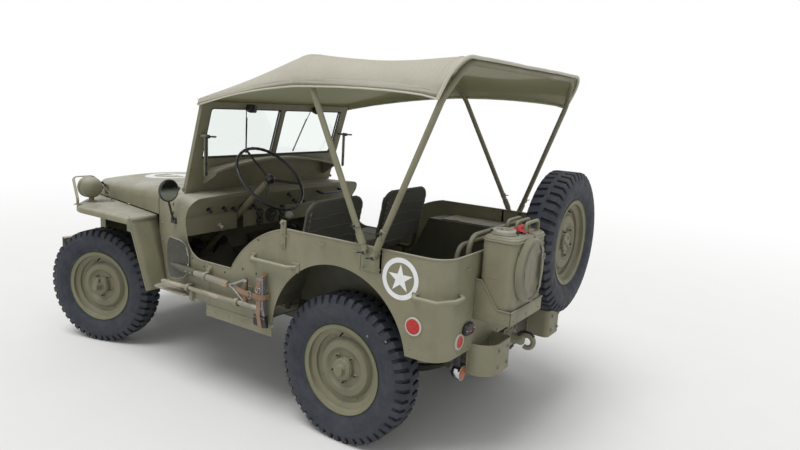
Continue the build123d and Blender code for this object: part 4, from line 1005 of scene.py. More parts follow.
def make_can():
    """Seams, cap and pressings of the fuel can, and the edges of its cradle."""
    form = Form()
    for z, out, bead in ((1.071, 0.0012, 0.0032), (0.905, 0.0, 0.0011)):
        path = rounded_rectangle(can_middle, can_half[0] + out, can_half[1] + out, 0.038, z)
        form.tube(path, bead, 8, closed=True)
    form.tube(rounded_rectangle(can_middle, 0.073, 0.163, 0.032, can_top + 0.0005), 0.0018, 8, closed=True)
    cap = Matrix.Translation(can_cap)
    form.lathe([(0.06, 0), (0.06, 0.004), (0.055, 0.007), (0.0505, 0.008)], cap, 40)
    form.lathe([(0.0505, 0.007), (0.0515, 0.01), (0.0515, 0.017), (0.0485, 0.021), (0.0415, 0.021),
                (0.04, 0.0125)], cap, 40, 1)
    form.lathe([(0.0398, 0.0123), (0.0398, 0.0129)], cap, 32, 2)
    for turn in (35, 125):
        form.block((-0.0395, -0.0035, 0.0128), (0.0395, 0.0035, 0.0178), 0.001, cap @ turned(turn), 1)
    for turn in (15, 195):
        form.block((0.05, -0.008, 0.004), (0.064, 0.008, 0.016), 0.003, cap @ turned(turn), 2)
    for side in (-1, 1):
        face_x = can_middle.x + side * 0.0826
        for start_z, end_z in ((0.79, 1.04), (1.04, 0.79)):
            form.tube([(face_x, 0.155, start_z), (face_x, 0.44, end_z)], 0.006, 8, 0, 0.35)
    for bar_x in can_bars:
        for y in (0.147, 0.293):
            form.lathe([(0.015, 0), (0.013, 0.004), (0.0085, 0.006)], shift(bar_x, y, can_top), 16)
    form.object("can_fittings", [olive, cream, black_paint])
    cradle = Form()
    cradle.tube([(-1.6605, 0.118, 0.7715), (-1.6605, 0.476, 0.7715)], 0.0035, 8)
    for y in (0.1185, 0.4765):
        line = ((-1.66, 0.7715), (-1.595, 0.7715), (-1.51, 0.8905), (-1.482, 0.8905))
        cradle.tube([(x, y, z) for x, z in line], 0.0032, 8)
    for y in (0.16, 0.3, 0.44):
        cradle.rivet(facing_back(carrier_rear_x, y, 0.728), 0.006)
    for sign, y in ((1, 0.475), (-1, 0.12)):
        for x, z in ((-1.63, 0.735), (-1.5, 0.735), (-1.5, 0.868)):
            cradle.rivet(facing_side(sign, x, y, z), 0.005)
    cradle.object("cradle_edges", [olive])


def make_rag():
    """A crumpled rag tucked under the can's handle."""
    shares = spread(-0.5, 0.5, 22)
    rows = []
    for u in shares:
        row = []
        for v in shares:
            spot = Vector((u * 5.5, v * 5.5, 3.0))
            x = -1.588 + u * 0.072 + 0.01 * noise.noise(spot * 1.3)
            y = 0.284 + v * 0.056 + 0.01 * noise.noise(spot * 1.3 + Vector((9, 0, 0)))
            heap = 0.03 * max(0, 1 - (u * u + v * v) * 4.4) + 0.01
            row.append(Vector((x, y, can_top + 0.004 + heap * (0.75 + 0.5 * noise.noise(spot * 2.2)))))
        rows.append(row)
    form = Form()
    form.grid(rows)
    rag = form.object("rag", red_rag, "root", 180)
    thicken(rag, 0.0012)


bucket_centre = Vector((-1.6554, 0.34, 0.943))
bucket_half = (0.125, 0.145)
bucket_profile = [
    # (share of the rim, height off the can)
    (0.955, 0.0), (0.985, 0.006), (0.998, 0.016), (0.985, 0.027), (0.955, 0.0335), (0.925, 0.034),
    (0.9, 0.03), (0.875, 0.0265), (0.84, 0.0262), (0.8, 0.03), (0.765, 0.0335), (0.735, 0.033),
    (0.7, 0.028), (0.64, 0.0235), (0.52, 0.0215), (0.38, 0.023), (0.24, 0.0215), (0.1, 0.0225),
    (0.02, 0.0225),
]


def make_bucket():
    """A canvas bucket folded flat, with its roped rim and the ring of its base showing."""
    form = Form()
    rows = []
    for share, height in bucket_profile:
        row = []
        for across, up in circle(share, 96):
            y, z = bucket_half[0] * across, bucket_half[1] * up
            fold = noise.noise(Vector((y * 26, z * 26, 2.0)))
            fold += 0.5 * noise.noise(Vector((y * 70, z * 70, 7.0)))
            rise = max(0.0, min(0.0343, height + (0.0028 * fold if 0.003 < height else 0)))
            row.append((bucket_centre.x - rise, bucket_centre.y + y, bucket_centre.z + z))
        rows.append(row)
    form.grid(rows, closed=True, capped=True)
    bucket = form.object("bucket", bucket_canvas, "root", 180, ["canvas_bucket"])
    trim = Form()
    for share, height, thick in ((0.935, 0.0325, 0.003), (0.748, 0.0325, 0.0026)):
        path = [bucket_centre + Vector((-height, bucket_half[0] * y, bucket_half[1] * z))
                for y, z in circle(share, 72)]
        trim.tube(path, thick, 8, closed=True)
    trim.object("bucket_ropes", seat_piping, "root", 60)


def make_can_strap():
    """The webbing that ties the bucket to the can, with its buckle."""
    form = Form()
    y = 0.262
    path = [(-1.545, y, 1.0915), (-1.648, y, 1.0915), (-1.6592, y, 1.078), (-1.6945, y - 0.004, 1.03),
            (-1.6945, y - 0.004, 0.85), (-1.6605, y, 0.8), (-1.6605, y, 0.776)]
    form.strap(rounded_path(path, 0.012), 0.025, 0.0022, (0, 1, 0))
    loose = [(-1.6965, y - 0.004, 0.985), (-1.6985, y - 0.006, 0.93), (-1.6965, y + 0.004, 0.872)]
    form.strap(rounded_path(loose, 0.02), 0.023, 0.0018, (0, 1, 0))
    buckle(form, facing_back(-1.696, y - 0.004, 0.995), 0.026, 1)
    form.object("can_strap", [webbing, steel], "root")


# Shovel and axe on the left side
tool_y = 0.775
blade_middle_z = 0.7325
blade_half_z = 0.1145
blade_front_x = 0.285
blade_edge_radius = 0.1249
blade_dish = 0.2
blade_near_y = 0.748


def blade_point(share, across):
    """A point of the shovel's blade, share of the way from its rear to its front edge."""
    z = across * blade_half_z
    front = blade_front_x - blade_edge_radius + math.sqrt(max(0, blade_edge_radius ** 2 - z * z))
    rear = 0.105
    if abs(z) > 0.0745:
        rear += (min(abs(z), 0.1025) - 0.0745) * 0.5
    if abs(z) > 0.1025:
        rear += (abs(z) - 0.1025) / 0.012 * 0.091
    x = rear + (front - rear) * share
    y = blade_near_y + blade_dish - math.sqrt(blade_dish ** 2 - z * z) + 0.001
    return Vector((x, y, blade_middle_z + z))


def make_shovel():
    """A round-nosed shovel: dished blade, socket, ash shaft and D-shaped grip."""
    blade = Form()
    across = spread(-1, 1, 24)
    rows = [[blade_point(share, a) for a in across] for share in spread(0, 1, 16)]
    blade.grid(rows)
    # The blade takes the near-black steel of painted shade
    piece = blade.object("shovel_blade", painted_shade_blade, angle=60, replaced=["pioneer_tools"])
    thicken(piece, 0.0026, 1)
    steelwork = Form()
    lip = [blade_point(0, a) for a in across] + [blade_point(i / 8, 1) for i in range(1, 8)]
    lip += [blade_point(1, a) for a in reversed(across)]
    lip += [blade_point(i / 8, -1) for i in range(7, 0, -1)]
    steelwork.tube(lip, 0.0024, 8, closed=True)
    for sign in (1, -1):
        path = [blade_point(0, sign * s) + Vector((-0.002, 0.004, 0)) for s in (0.2, 0.4, 0.62)]
        steelwork.tube(path, 0.0048, 8, 0, 0.5)
    socket = [(0.236, 0.764, 0.6875), (0.18, 0.769, 0.6855), (0.1, tool_y, 0.6822), (0.02, tool_y, 0.679)]
    steelwork.tube(socket, 0.02, 16, 1, radii=[0.006, 0.0145, 0.02, 0.0196])
    for x, z in ((0.04, 0.6798), (0.075, 0.6812)):
        steelwork.rivet(facing_side(1, x, tool_y + 0.0195, z), 0.005)
    for z in (0.6, 0.716):
        middle_z = 0.669 + (z - 0.669) * 0.62
        curve = rounded_path([(-0.225, tool_y, 0.6694), (-0.262, tool_y, 0.669 + (z - 0.669) * 0.12),
                              (-0.318, tool_y, middle_z), (-0.352, tool_y, z), (-0.362, tool_y, z)], 0.03)
        steelwork.tube(curve, 0.0085, 10, 0, 0.7)
        steelwork.lathe([(0.0125, -0.007), (0.0135, -0.003), (0.0135, 0.003), (0.0125, 0.007)],
                        shift(-0.361, tool_y, z), 16)
    # The socket takes the olive darkened as painted shade
    steelwork.object("shovel_steel", [steel, painted_shade_olive])
    wood = Form()
    line = ((0.03, 0.6795), (-0.05, 0.6763), (-0.14, 0.6728), (-0.235, 0.669))
    wood.tube([(x, tool_y, z) for x, z in line], 0.0168, 18, radii=[0.0162, 0.0168, 0.0166, 0.0168])
    wood.object("shovel_shaft", tool_wood, angle=60)
    grip = Form()
    grip.tube([(-0.361, tool_y, z) for z in (0.588, 0.598, 0.63, 0.658, 0.69, 0.718, 0.728)], 0.012, 16,
              radii=[0.0085, 0.0118, 0.0124, 0.013, 0.0124, 0.0118, 0.0085])
    grip.object("shovel_grip", dark_wood, angle=60)


def make_axe():
    """An axe with its head to the rear, edge down in a sheath."""
    handle = Form()
    line = [
        # (x, z, half thickness)
        (0.3, 0.581, 0.01), (0.288, 0.58, 0.0155), (0.24, 0.5835, 0.016), (0.15, 0.5865, 0.0138),
        (0.0, 0.585, 0.0135), (-0.2, 0.587, 0.0138), (-0.4, 0.5905, 0.015), (-0.487, 0.592, 0.0155),
    ]
    sizes = [half for x, z, half in line]
    handle.tube([(x, tool_y, z) for x, z, half in line], 0.015, 18, 0, 0.8, radii=sizes)
    handle.object("axe_handle", pale_wood, angle=60)
    head = Form()
    levels = [
        # (z, front x, rear x, half thickness)
        (0.748, -0.445, -0.489, 0.0095), (0.744, -0.444, -0.49, 0.012),
        (0.64, -0.445, -0.4915, 0.012), (0.61, -0.444, -0.494, 0.0118),
        (0.57, -0.439, -0.5, 0.0085), (0.53, -0.431, -0.51, 0.004),
        (0.508, -0.428, -0.514, 0.0012),
    ]
    rows = []
    for z, front, rear, half in levels:
        near = half * 0.7
        outline = [(front, -near), (front, near), (front - 0.004, half), (rear + 0.004, half), (rear, near),
                   (rear, -near), (rear + 0.004, -half), (front - 0.004, -half)]
        rows.append([(x, tool_y + y, z) for x, y in outline])
    head.grid(rows, closed=True, capped=True)
    head.object("axe_head", axe_steel)
    sheath = Form()
    rows = []
    for z, front, rear, half in ((0.56, -0.433, -0.506, 0.0115), (0.53, -0.427, -0.513, 0.0085),
                                 (0.504, -0.425, -0.5165, 0.005), (0.5005, -0.427, -0.515, 0.002)):
        outline = [(front, -half), (front, half), (rear, half), (rear, -half)]
        rows.append([(x, tool_y + y, z) for x, y in outline])
    sheath.grid(rows, closed=True, capped=True)
    for x in (-0.44, -0.455, -0.47, -0.485, -0.5):
        sheath.rivet(facing_side(1, x, tool_y + 0.01, 0.548), 0.0035, 1)
    sheath.object("axe_sheath", [black_leather, steel])


def make_tool_holders():
    """Brackets, loops and leather straps that hold the shovel and the axe."""
    form = Form()
    brackets = ((-0.06, 0.658, 0.726), (-0.472, 0.64, 0.7), (0.08, 0.5, 0.6), (-0.361, 0.64, 0.68))
    for x, low, high in brackets:
        form.block((x - 0.015, side_y, low), (x + 0.015, side_y + 0.006, high), 0.002)
        form.block((x - 0.012, side_y + 0.005, low + 0.012), (x + 0.012, tool_y - 0.016, high - 0.012), 0.003)
        for z in (low + 0.007, high - 0.007):
            form.rivet(on_side(1, x, z, 0.006), 0.004)
    for x, middle_z, radius in ((-0.06, 0.676, 0.0195), (0.08, 0.5855, 0.0175), (-0.3, 0.5885, 0.0185)):
        line = [(side_y + 0.003, middle_z - radius - 0.002), *arc((tool_y, middle_z), radius, -90, 90, 10),
                (side_y + 0.003, middle_z + radius + 0.002)]
        form.strap([(x, y, z) for y, z in line], 0.024, 0.0026, (1, 0, 0))
    line = ((-0.467, 0, 0.751), (-0.467, 0.0145, 0.74), (-0.468, 0.0145, 0.64), (-0.469, 0.016, 0.56),
            (-0.47, 0.004, 0.497))
    path = [(-0.467, side_y + 0.003, 0.765), *[(x, tool_y + out, z) for x, out, z in line],
            (-0.47, side_y + 0.003, 0.49)]
    form.strap(rounded_path(path, 0.012), 0.026, 0.0026, (1, 0, 0), 1)
    buckle(form, facing_side(1, -0.468, tool_y + 0.0165, 0.69), 0.026, 2)
    line = ((-0.497, 0.004, 0.655), (-0.48, 0.0185, 0.655), (-0.44, 0.018, 0.655), (-0.385, 0.015, 0.657),
            (-0.345, 0.015, 0.659), (-0.3, 0.002, 0.661))
    path = [(-0.5, side_y + 0.004, 0.655), *[(x, tool_y + out, z) for x, out, z in line],
            (-0.27, side_y + 0.004, 0.662)]
    form.strap(rounded_path(path, 0.012), 0.026, 0.0026, (0, 0, 1), 1)
    buckle(form, place_at((-0.41, tool_y + 0.019, 0.656), (0, 1, 0), (0, 0, 1)), 0.028, 2)
    form.object("tool_holders", [olive, strap_leather, steel])


def upright(form, outline, y_high, thickness, bevel=0.0, material=0):
    """A plate whose outline lies in x and z, reaching down in y from y_high."""
    form.prism(outline, thickness, place_at((0, y_high, 0), (0, -1, 0), (1, 0, 0)), bevel, material)


def make_can_body():
    """The fuel can with its three-bar handle."""
    form = Form()
    outline = [(p.x, p.y) for p in rounded_rectangle(can_middle, *can_half, 0.038, 0)]
    form.prism(outline, can_top - can_foot, shift(0, 0, can_foot), 0.01)
    for bar_x in can_bars:
        path = rounded_path([(bar_x, 0.147, can_top - 0.004), (bar_x, 0.147, 1.136), (bar_x, 0.293, 1.136),
                             (bar_x, 0.293, can_top - 0.004)], 0.022)
        form.tube(path, 0.0082, 12)
    form.object("fuel_can", [olive], angle=50, replaced=["jerry_can"])


carrier_rear_x = -1.66
carrier_foot_z = 0.708
carrier_side = [
    # (x, z)
    (carrier_rear_x, carrier_foot_z), (carrier_rear_x, 0.769), (-1.595, 0.769), (-1.51, 0.889),
    (-1.4804, 0.889), (-1.4804, carrier_foot_z),
]


def make_carriers():
    """The can's cradle and the post that carries the spare wheel."""
    spare_at = wheel_matrices()["spare"]
    form = Form()
    for y_high in (0.4745, 0.1245):
        upright(form, carrier_side, y_high, 0.004, 0.0012)
    form.block((carrier_rear_x, 0.1205, carrier_foot_z), (carrier_rear_x + 0.004, 0.4745, 0.769), 0.0012)
    form.block((carrier_rear_x, 0.1205, 0.707), (-1.4804, 0.4745, 0.711), 0.0012)
    post = spare_at.copy()
    post.translation.x = tub_rear
    reach = tub_rear - spare_at.translation.x
    form.lathe([(0.085, 0), (0.085, 0.005), (0.054, 0.008), (0.05, reach - 0.012), (0.084, reach + 0.004),
                (0.084, reach + 0.0178)], post, 40)
    form.lathe([(0.046, reach + 0.017), (0.046, reach + 0.036), (0.041, reach + 0.041)], post, 36)
    for spot in around(post, 3, 0.026, reach + 0.041, 0.75):
        form.bolt(spot, 0.0085)
    for spot in around(post, 6, 0.07, 0.004):
        form.bolt(spot, 0.006)
    form.object("carriers", [olive], replaced=["rear_carriers"])


bumperette_rows = (0.441, 0.582)
rear_member_x = -1.46
hitch_z = 0.485


def make_rear_bumpers():
    """Bumperettes bent from plate with a round outer corner, and the towing hook."""
    form = Form()
    low, high = bumperette_rows
    middle = (low + high) / 2
    for sign in (1, -1):
        plan = [(rear_member_x, 0.2425), *arc((-1.5535, 0.2665), 0.024, 270, 180, 6),
                *arc((-1.49, 0.3755), 0.0875, 180, 90, 12), (rear_member_x, 0.463)]
        form.strap([(x, sign * y, middle) for x, y in plan], high - low, 0.005, (0, 0, 1))
        for z in (low, high):
            form.tube([(x, sign * y, z) for x, y in plan], 0.0042, 8)
        y_low, y_high = sorted((sign * 0.236, sign * 0.47))
        form.block((rear_member_x - 0.006, y_low, low - 0.004), (rear_member_x, y_high, 0.56), 0.002)
        for y in (0.285, 0.375):
            for z in (low + 0.03, high - 0.032):
                form.bolt(facing_back(-1.58, sign * y, z), 0.0075)
    form.block((rear_member_x - 0.008, -0.075, 0.43), (rear_member_x, 0.075, 0.54), 0.003)
    for y in (-0.055, 0.055):
        for z in (0.447, 0.523):
            form.bolt(facing_back(rear_member_x - 0.008, y, z), 0.009)
    form.lathe([(0.048, 0.006), (0.046, 0.014), (0.028, 0.022), (0.025, 0.05), (0.027, 0.075), (0.02, 0.085)],
               facing_back(rear_member_x, 0, hitch_z), 28)
    hook = [(x, 0, z) for x, z in arc((-1.563, hitch_z), 0.033, 35, 300, 22)]
    form.tube(hook, 0.013, 14, radii=[0.016 - 0.004 * i / 22 for i in range(23)])
    form.tube([(-1.52, 0, 0.515), (-1.545, 0, 0.53), (-1.578, 0, 0.527), (-1.596, 0, 0.512)], 0.01, 12, 1)
    form.lathe([(0.007, -0.026), (0.009, -0.022), (0.009, 0.022), (0.007, 0.026)],
               facing_side(1, -1.524, 0, 0.52), 14, 1)
    form.object("rear_bumpers_detailed", [olive, black_paint], angle=45, replaced=["rear_bumpers"])


def slot_outline(width, height, steps=10):
    """The outline of a slot, wide in x."""
    reach = width / 2 - height / 2
    return arc((reach, 0), height / 2, -90, 90, steps) + arc((-reach, 0), height / 2, 90, 270, steps)


def make_rear_lamps():
    """Reflectors, oval tail lamps and the bowl lamps below the tub."""
    form = Form()
    for sign in (1, -1):
        beside = on_side(sign, -1.338, 0.705)
        behind = facing_back(tub_rear, sign * 0.594, 0.632)
        for at, r in ((beside, 0.041), (behind, 0.036)):
            form.lathe([(r, 0), (r, 0.0055), (r - 0.0025, 0.0085), (r - 0.0065, 0.0085), (r - 0.0075, 0.006)],
                       at, 40)
            glass = [(r - 0.0078, 0.004), (r - 0.008, 0.0072), (r * 0.5, 0.009), (0.002, 0.0096)]
            form.lathe(glass, at, 32, 1)
        at = facing_back(tub_rear, sign * 0.522, 0.673)
        form.prism(slot_outline(0.092, 0.056), 0.016, at, 0.0035, 2)
        form.prism(slot_outline(0.084, 0.048), 0.0032, at @ shift(0, 0, 0.016), 0.0012, 2)
        form.prism(slot_outline(0.034, 0.007), 0.0012, at @ shift(0, 0.008, 0.019), 0.0004, 1)
        for x in (-0.034, 0.034):
            form.rivet(at @ shift(x, 0, 0.019), 0.0035, 3)
        y = sign * 0.507
        bowl = facing_back(-1.412, y, 0.454)
        form.lathe([(0.004, 0), (0.018, 0.004), (0.027, 0.013), (0.0325, 0.028), (0.034, 0.044),
                    (0.035, 0.05), (0.034, 0.056), (0.0315, 0.056)], bowl, 36, 3)
        finish = 4 if sign > 0 else 1
        form.lathe([(0.0318, 0.05), (0.031, 0.0565), (0.022, 0.061), (0.008, 0.063)], bowl, 32, finish)
        form.block((-1.456, y - 0.01, 0.48), (-1.426, y + 0.01, 0.596), 0.003, None, 2)
        form.bolt(facing_side(1, -1.441, y + 0.01, 0.56), 0.006, 2)
    finishes = [cream, red_lens, black_paint, chrome, amber_lens]
    form.object("rear_lamps_detailed", finishes, "root", 38, ["rear_lamps"])


guide_place = Vector((1.215, 0.625, 0.985))
headlamp_y = 0.322
headlamp_z = 0.815
grille_face_x = 1.455
fender_top = 0.893


def make_front_lamps():
    """Headlamps behind the grille, and the guarded lamp on the left fender."""
    form = Form()
    for sign in (1, -1):
        at = facing_front(grille_face_x - 0.094, sign * headlamp_y, headlamp_z)
        form.lathe([(0.03, 0), (0.06, 0.012), (0.08, 0.04), (0.087, 0.07), (0.087, 0.0895)], at, 40)
        form.lathe([(0.0815, 0.0895), (0.0825, 0.0955), (0.079, 0.0985), (0.0755, 0.0965)], at, 48, 1)
        form.lathe([(0.075, 0.09), (0.0745, 0.096), (0.06, 0.1), (0.03, 0.103), (0.004, 0.104)], at,
                   40, 2)
    at = facing_front(*guide_place)
    form.lathe([(0.004, -0.068), *arc((0, 0), 0.068, -80, 20, 10)], at, 40)
    form.lathe([(0.0655, 0.0225), (0.0685, 0.028), (0.0685, 0.042), (0.065, 0.047), (0.059, 0.0475)], at, 48)
    form.lathe([(0.0588, 0.04), (0.0585, 0.0455), (0.03, 0.0475), (0.004, 0.048)], at, 36, 2)
    form.block((-0.03, -0.006, 0.0478), (0.03, 0.006, 0.05), 0.001, at)
    foot = shift(guide_place.x, guide_place.y, fender_top)
    form.lathe([(0.03, 0), (0.028, 0.004), (0.016, 0.008), (0.015, 0.04)], foot, 28)
    path = [(1.15, 0.755, fender_top), (1.15, 0.755, fender_top + 0.036), (1.29, 0.7, 1.048),
            (1.29, 0.56, 1.048), (1.15, 0.525, fender_top + 0.036), (1.15, 0.525, fender_top)]
    form.tube(rounded_path(path, 0.03), 0.0085, 12, 3, 0.45)
    for y in (0.755, 0.525):
        form.block((1.13, y - 0.016, fender_top), (1.17, y + 0.016, fender_top + 0.004), 0.001)
        for x in (1.138, 1.162):
            form.bolt(shift(x, y, fender_top + 0.004), 0.0055)
    finishes = [olive, chrome, lens_glass, olive]
    form.object("front_lamps_detailed", finishes, replaced=["front_lamps"])


fender_lip_z = 0.855
fender_edge = 0.787
fender_section = [
    # (distance in from the free edge, z)
    (0.006, fender_lip_z - 0.001), (0.001, fender_lip_z), (0.0, fender_lip_z + 0.004), (0.0, 0.873),
    (0.0014, 0.88), (0.0053, 0.8867), (0.0115, 0.8914), (0.019, fender_top),
]


def shifted(path, amount):
    """A plan path moved to its left by an amount."""
    found = []
    for i, point in enumerate(path):
        along = (path[min(i + 1, len(path) - 1)] - path[max(i - 1, 0)]).normalized()
        found.append(point + Vector((-along.y, along.x, 0)) * amount)
    return found


def make_fenders():
    """Fenders with rounded rims and corners, and the skirts that slope back to the tub."""
    form = Form()
    rear_edge = [(0.578, 0.602, 0), (0.578, fender_edge, 0), (0.8, fender_edge, 0)]
    free_edge = rounded_path(rear_edge, 0.032)[:-1]
    front_edge = [(0.8, fender_edge, 0), (1.15, fender_edge, 0), (1.45, 0.475, 0), (1.45, 0.42, 0)]
    free_edge += rounded_path(front_edge, 0.11, 10)
    for sign in (1, -1):
        flip = Matrix.Scale(sign, 4, (0, 1, 0))
        rows = []
        for inset, z in fender_section:
            rows.append([(p.x, p.y, z) for p in shifted(free_edge, -inset)])
        made = form.grid(rows, flip)
        top = made[-len(free_edge):]
        inner_edge = ((1.395, 0.424, fender_top), (0.592, 0.584, fender_top))
        form.mesh.faces.new(top + [form.mesh.verts.new(flip @ Vector(p)) for p in inner_edge])
        skirt = []
        slope = ((0.592, 0.893), (0.59, 0.886), (0.553, 0.8), (0.4912, 0.65), (0.429, 0.5), (0.43, 0.493))
        for x, z in slope:
            across = (fender_edge - 0.001, 0.74, 0.7, 0.66, side_at(x) + 0.002)
            skirt.append([(x, y, z) for y in across])
        form.grid(skirt, flip)
        form.block((0.6, 0.738, 0.8), (0.668, 0.742, 0.892), 0.001, flip)
        for z in (0.822, 0.852):
            form.rivet(facing_side(sign, 0.64, sign * 0.742, z), 0.007)
        roll = ((0.592, 0.889), (0.553, 0.8), (0.429, 0.498))
        form.tube([(x, sign * (fender_edge - 0.003), z) for x, z in roll], 0.004, 8)
    piece = form.object("fenders_detailed", [olive], angle=35, replaced=["fenders"])
    thicken(piece, 0.0025, -1)
    bolts = Form()
    for sign in (1, -1):
        for x, y in ((1.36, 0.448), (1.16, 0.488), (0.95, 0.53), (0.74, 0.572), (1.4, 0.47), (0.62, 0.76),
                     (0.62, 0.64)):
            bolts.rivet(shift(x, sign * y, fender_top), 0.006)
    bolts.object("fender_bolts", olive)


tray_rear_x = 0.15
tray_front_x = 0.226
tray_half = 0.52
tray_end_z = 1.197
tray_rise = 0.058
arm_y = 0.6
arm_nut_z = 1.391


def make_windscreen_fittings():
    """The arched tray across the screen, slotted arms with wing nuts, and bolts and gaskets."""
    form = Form()
    rows = []
    section = ((tray_rear_x, 0.016), (tray_rear_x, 0.004), (tray_rear_x + 0.003, 0.0), (tray_front_x, 0.0),
               (tray_front_x + 0.016, -0.002))
    for x, down in section:
        across = spread(tray_half, -tray_half, 32)
        rows.append([(x, y, tray_end_z + tray_rise * (1 - (y / tray_half) ** 2) - down) for y in across])
    form.grid(rows)
    tray = form.object("screen_tray", olive)
    thicken(tray, 0.0026, -1)
    arms = Form()
    ends = [(tray_rear_x, tray_end_z), (tray_rear_x + 0.005, tray_end_z - 0.025), (0.25, 1.112),
            (0.272, 1.112), (0.25, tray_end_z)]
    for y_high in (tray_half + 0.002, -tray_half + 0.002):
        upright(arms, ends, y_high, 0.004, 0.001)
    for sign in (1, -1):
        for x, z in ((0.262, 1.122), (0.245, 1.15), (0.17, 1.185), (0.235, 1.185)):
            arms.bolt(facing_side(sign, x, sign * (tray_half + 0.002), z), 0.006)
        y = sign * arm_y
        at = place_at((0.147, y, 1.2855), (-1, 0, 0), (0, 0, 1))
        arms.prism(slot_outline(0.235, 0.026), 0.004, at, 0.0008)
        # Painted shade: a thin black plate fills the slot's opening
        arms.prism(slot_outline(0.219, 0.011), 0.0006, at @ shift(0, 0, 0.0041), 0, 1)
        arms.tube([(0.19, y, arm_nut_z), (0.124, y, arm_nut_z)], 0.007, 12)
        wing_nut(arms, facing_back(0.131, y, arm_nut_z), 0.015, 1)
        for z in (1.185, 1.24):
            arms.bolt(facing_back(0.143, y, z), 0.006, 1)
        for y, z in ((0.64, 1.085), (0.672, 1.0), (0.676, 0.95)):
            arms.bolt(facing_back(0.286, sign * y, z), 0.007)
            arms.bolt(facing_front(0.325, sign * y, z), 0.007)
    arms.object("screen_arms", [olive, black_paint])
    trim = Form()
    for sign in (1, -1):
        for lift in (0.003, 0.021):
            pane = ((0.018, 0.207), (0.558, 0.207), (0.558, 0.5), (0.018, 0.5))
            corners = [screen_point(sign * y, up, lift) for y, up in pane]
            seam = (corners[0] + corners[1]) / 2
            trim.tube(rounded_path([seam, *corners[1:], corners[0], seam], 0.02), 0.0042, 8)
        arm = [screen_point(sign * 0.288, 0.519, 0.028), screen_point(sign * 0.235, 0.33, 0.034)]
        trim.tube(arm, 0.0028, 8, 1)
        blade = [screen_point(sign * 0.205, 0.215, 0.031), screen_point(sign * 0.262, 0.44, 0.031)]
        trim.tube(blade, 0.0045, 8, 0, 0.6)
        trim.lathe([(0.014, 0), (0.014, 0.012), (0.008, 0.016)], on_screen(sign * 0.288, 0.519, 0.022), 18, 1)
        motor = (sign * 0.288, 0.512)
        trim.block((-0.028, -0.02, -0.04), (0.028, 0.02, 0.0), 0.006, on_screen(*motor), 1)
        lead = [screen_point(*motor, -0.046), screen_point(*motor, -0.052) + Vector((0, 0, 0.032))]
        trim.tube(lead, 0.004, 8, 1)
    for y in spread(-0.58, 0.58, 12):
        for up in (0.03, 0.15):
            trim.rivet(place_at(screen_point(y, up), -screen_normal, (0, 1, 0)), 0.0042, 2)
            trim.rivet(on_screen(y, up, 0.024), 0.0042, 2)
    trim.object("screen_trim", [gasket, black_paint, olive])


screen_rake = math.radians(16.4)
screen_normal = Vector((math.cos(screen_rake), 0, math.sin(screen_rake)))
screen_up = Vector((-math.sin(screen_rake), 0, math.cos(screen_rake)))


def screen_point(y, up, lift=0.0):
    """A point on the rear face of the windscreen's frame, or lift ahead of it."""
    return Vector((0.288, y, 1.062)) + screen_up * up + screen_normal * lift


def on_screen(y, up, lift=0.0):
    """The same point as a place whose local z leaves the screen forward."""
    return place_at(screen_point(y, up, lift), screen_normal, (0, 1, 0))


def make_steering_wheel():
    """A thin rim with finger grips below, three spokes and a button."""
    axis = Vector(joints["steering_wheel_turn"]["axis"]).normalized()
    low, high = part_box("steering_wheel")
    at = place_at((low + high) / 2, axis, (0, 1, 0))
    form = Form()
    rows = []
    rim = 0.213
    for turn in spread(0, 360, 120):
        size = 0.0086 + 0.0007 * math.cos(math.radians(turn) * 36)
        rows.append([turned(turn) @ Vector((rim + x, 0, z)) for x, z in circle(size, 12)])
    rows[-1] = rows[0]
    form.grid(rows, at, closed=True)
    for turn in (45, 165, 285):
        spoke = at @ turned(turn)
        for side in (-0.007, 0.0, 0.007):
            start = Vector((0.022, side, -0.01))
            end = Vector((0.207, side, -0.001))
            bend = start * 0.4 + end * 0.6 - Vector((0, 0, 0.002))
            form.tube([spoke @ start, spoke @ bend, spoke @ end], 0.0022, 8, 1)
    form.lathe([(0.02, -0.024), (0.027, -0.018), (0.028, -0.004), (0.024, 0.008), (0.019, 0.012),
                (0.018, 0.016), (0.01, 0.0205), (0.002, 0.0215)], at, 32)
    form.object("steering_wheel_detailed", [black_grip, black_paint], "steering_wheel", 60,
                ["steering_wheel"])


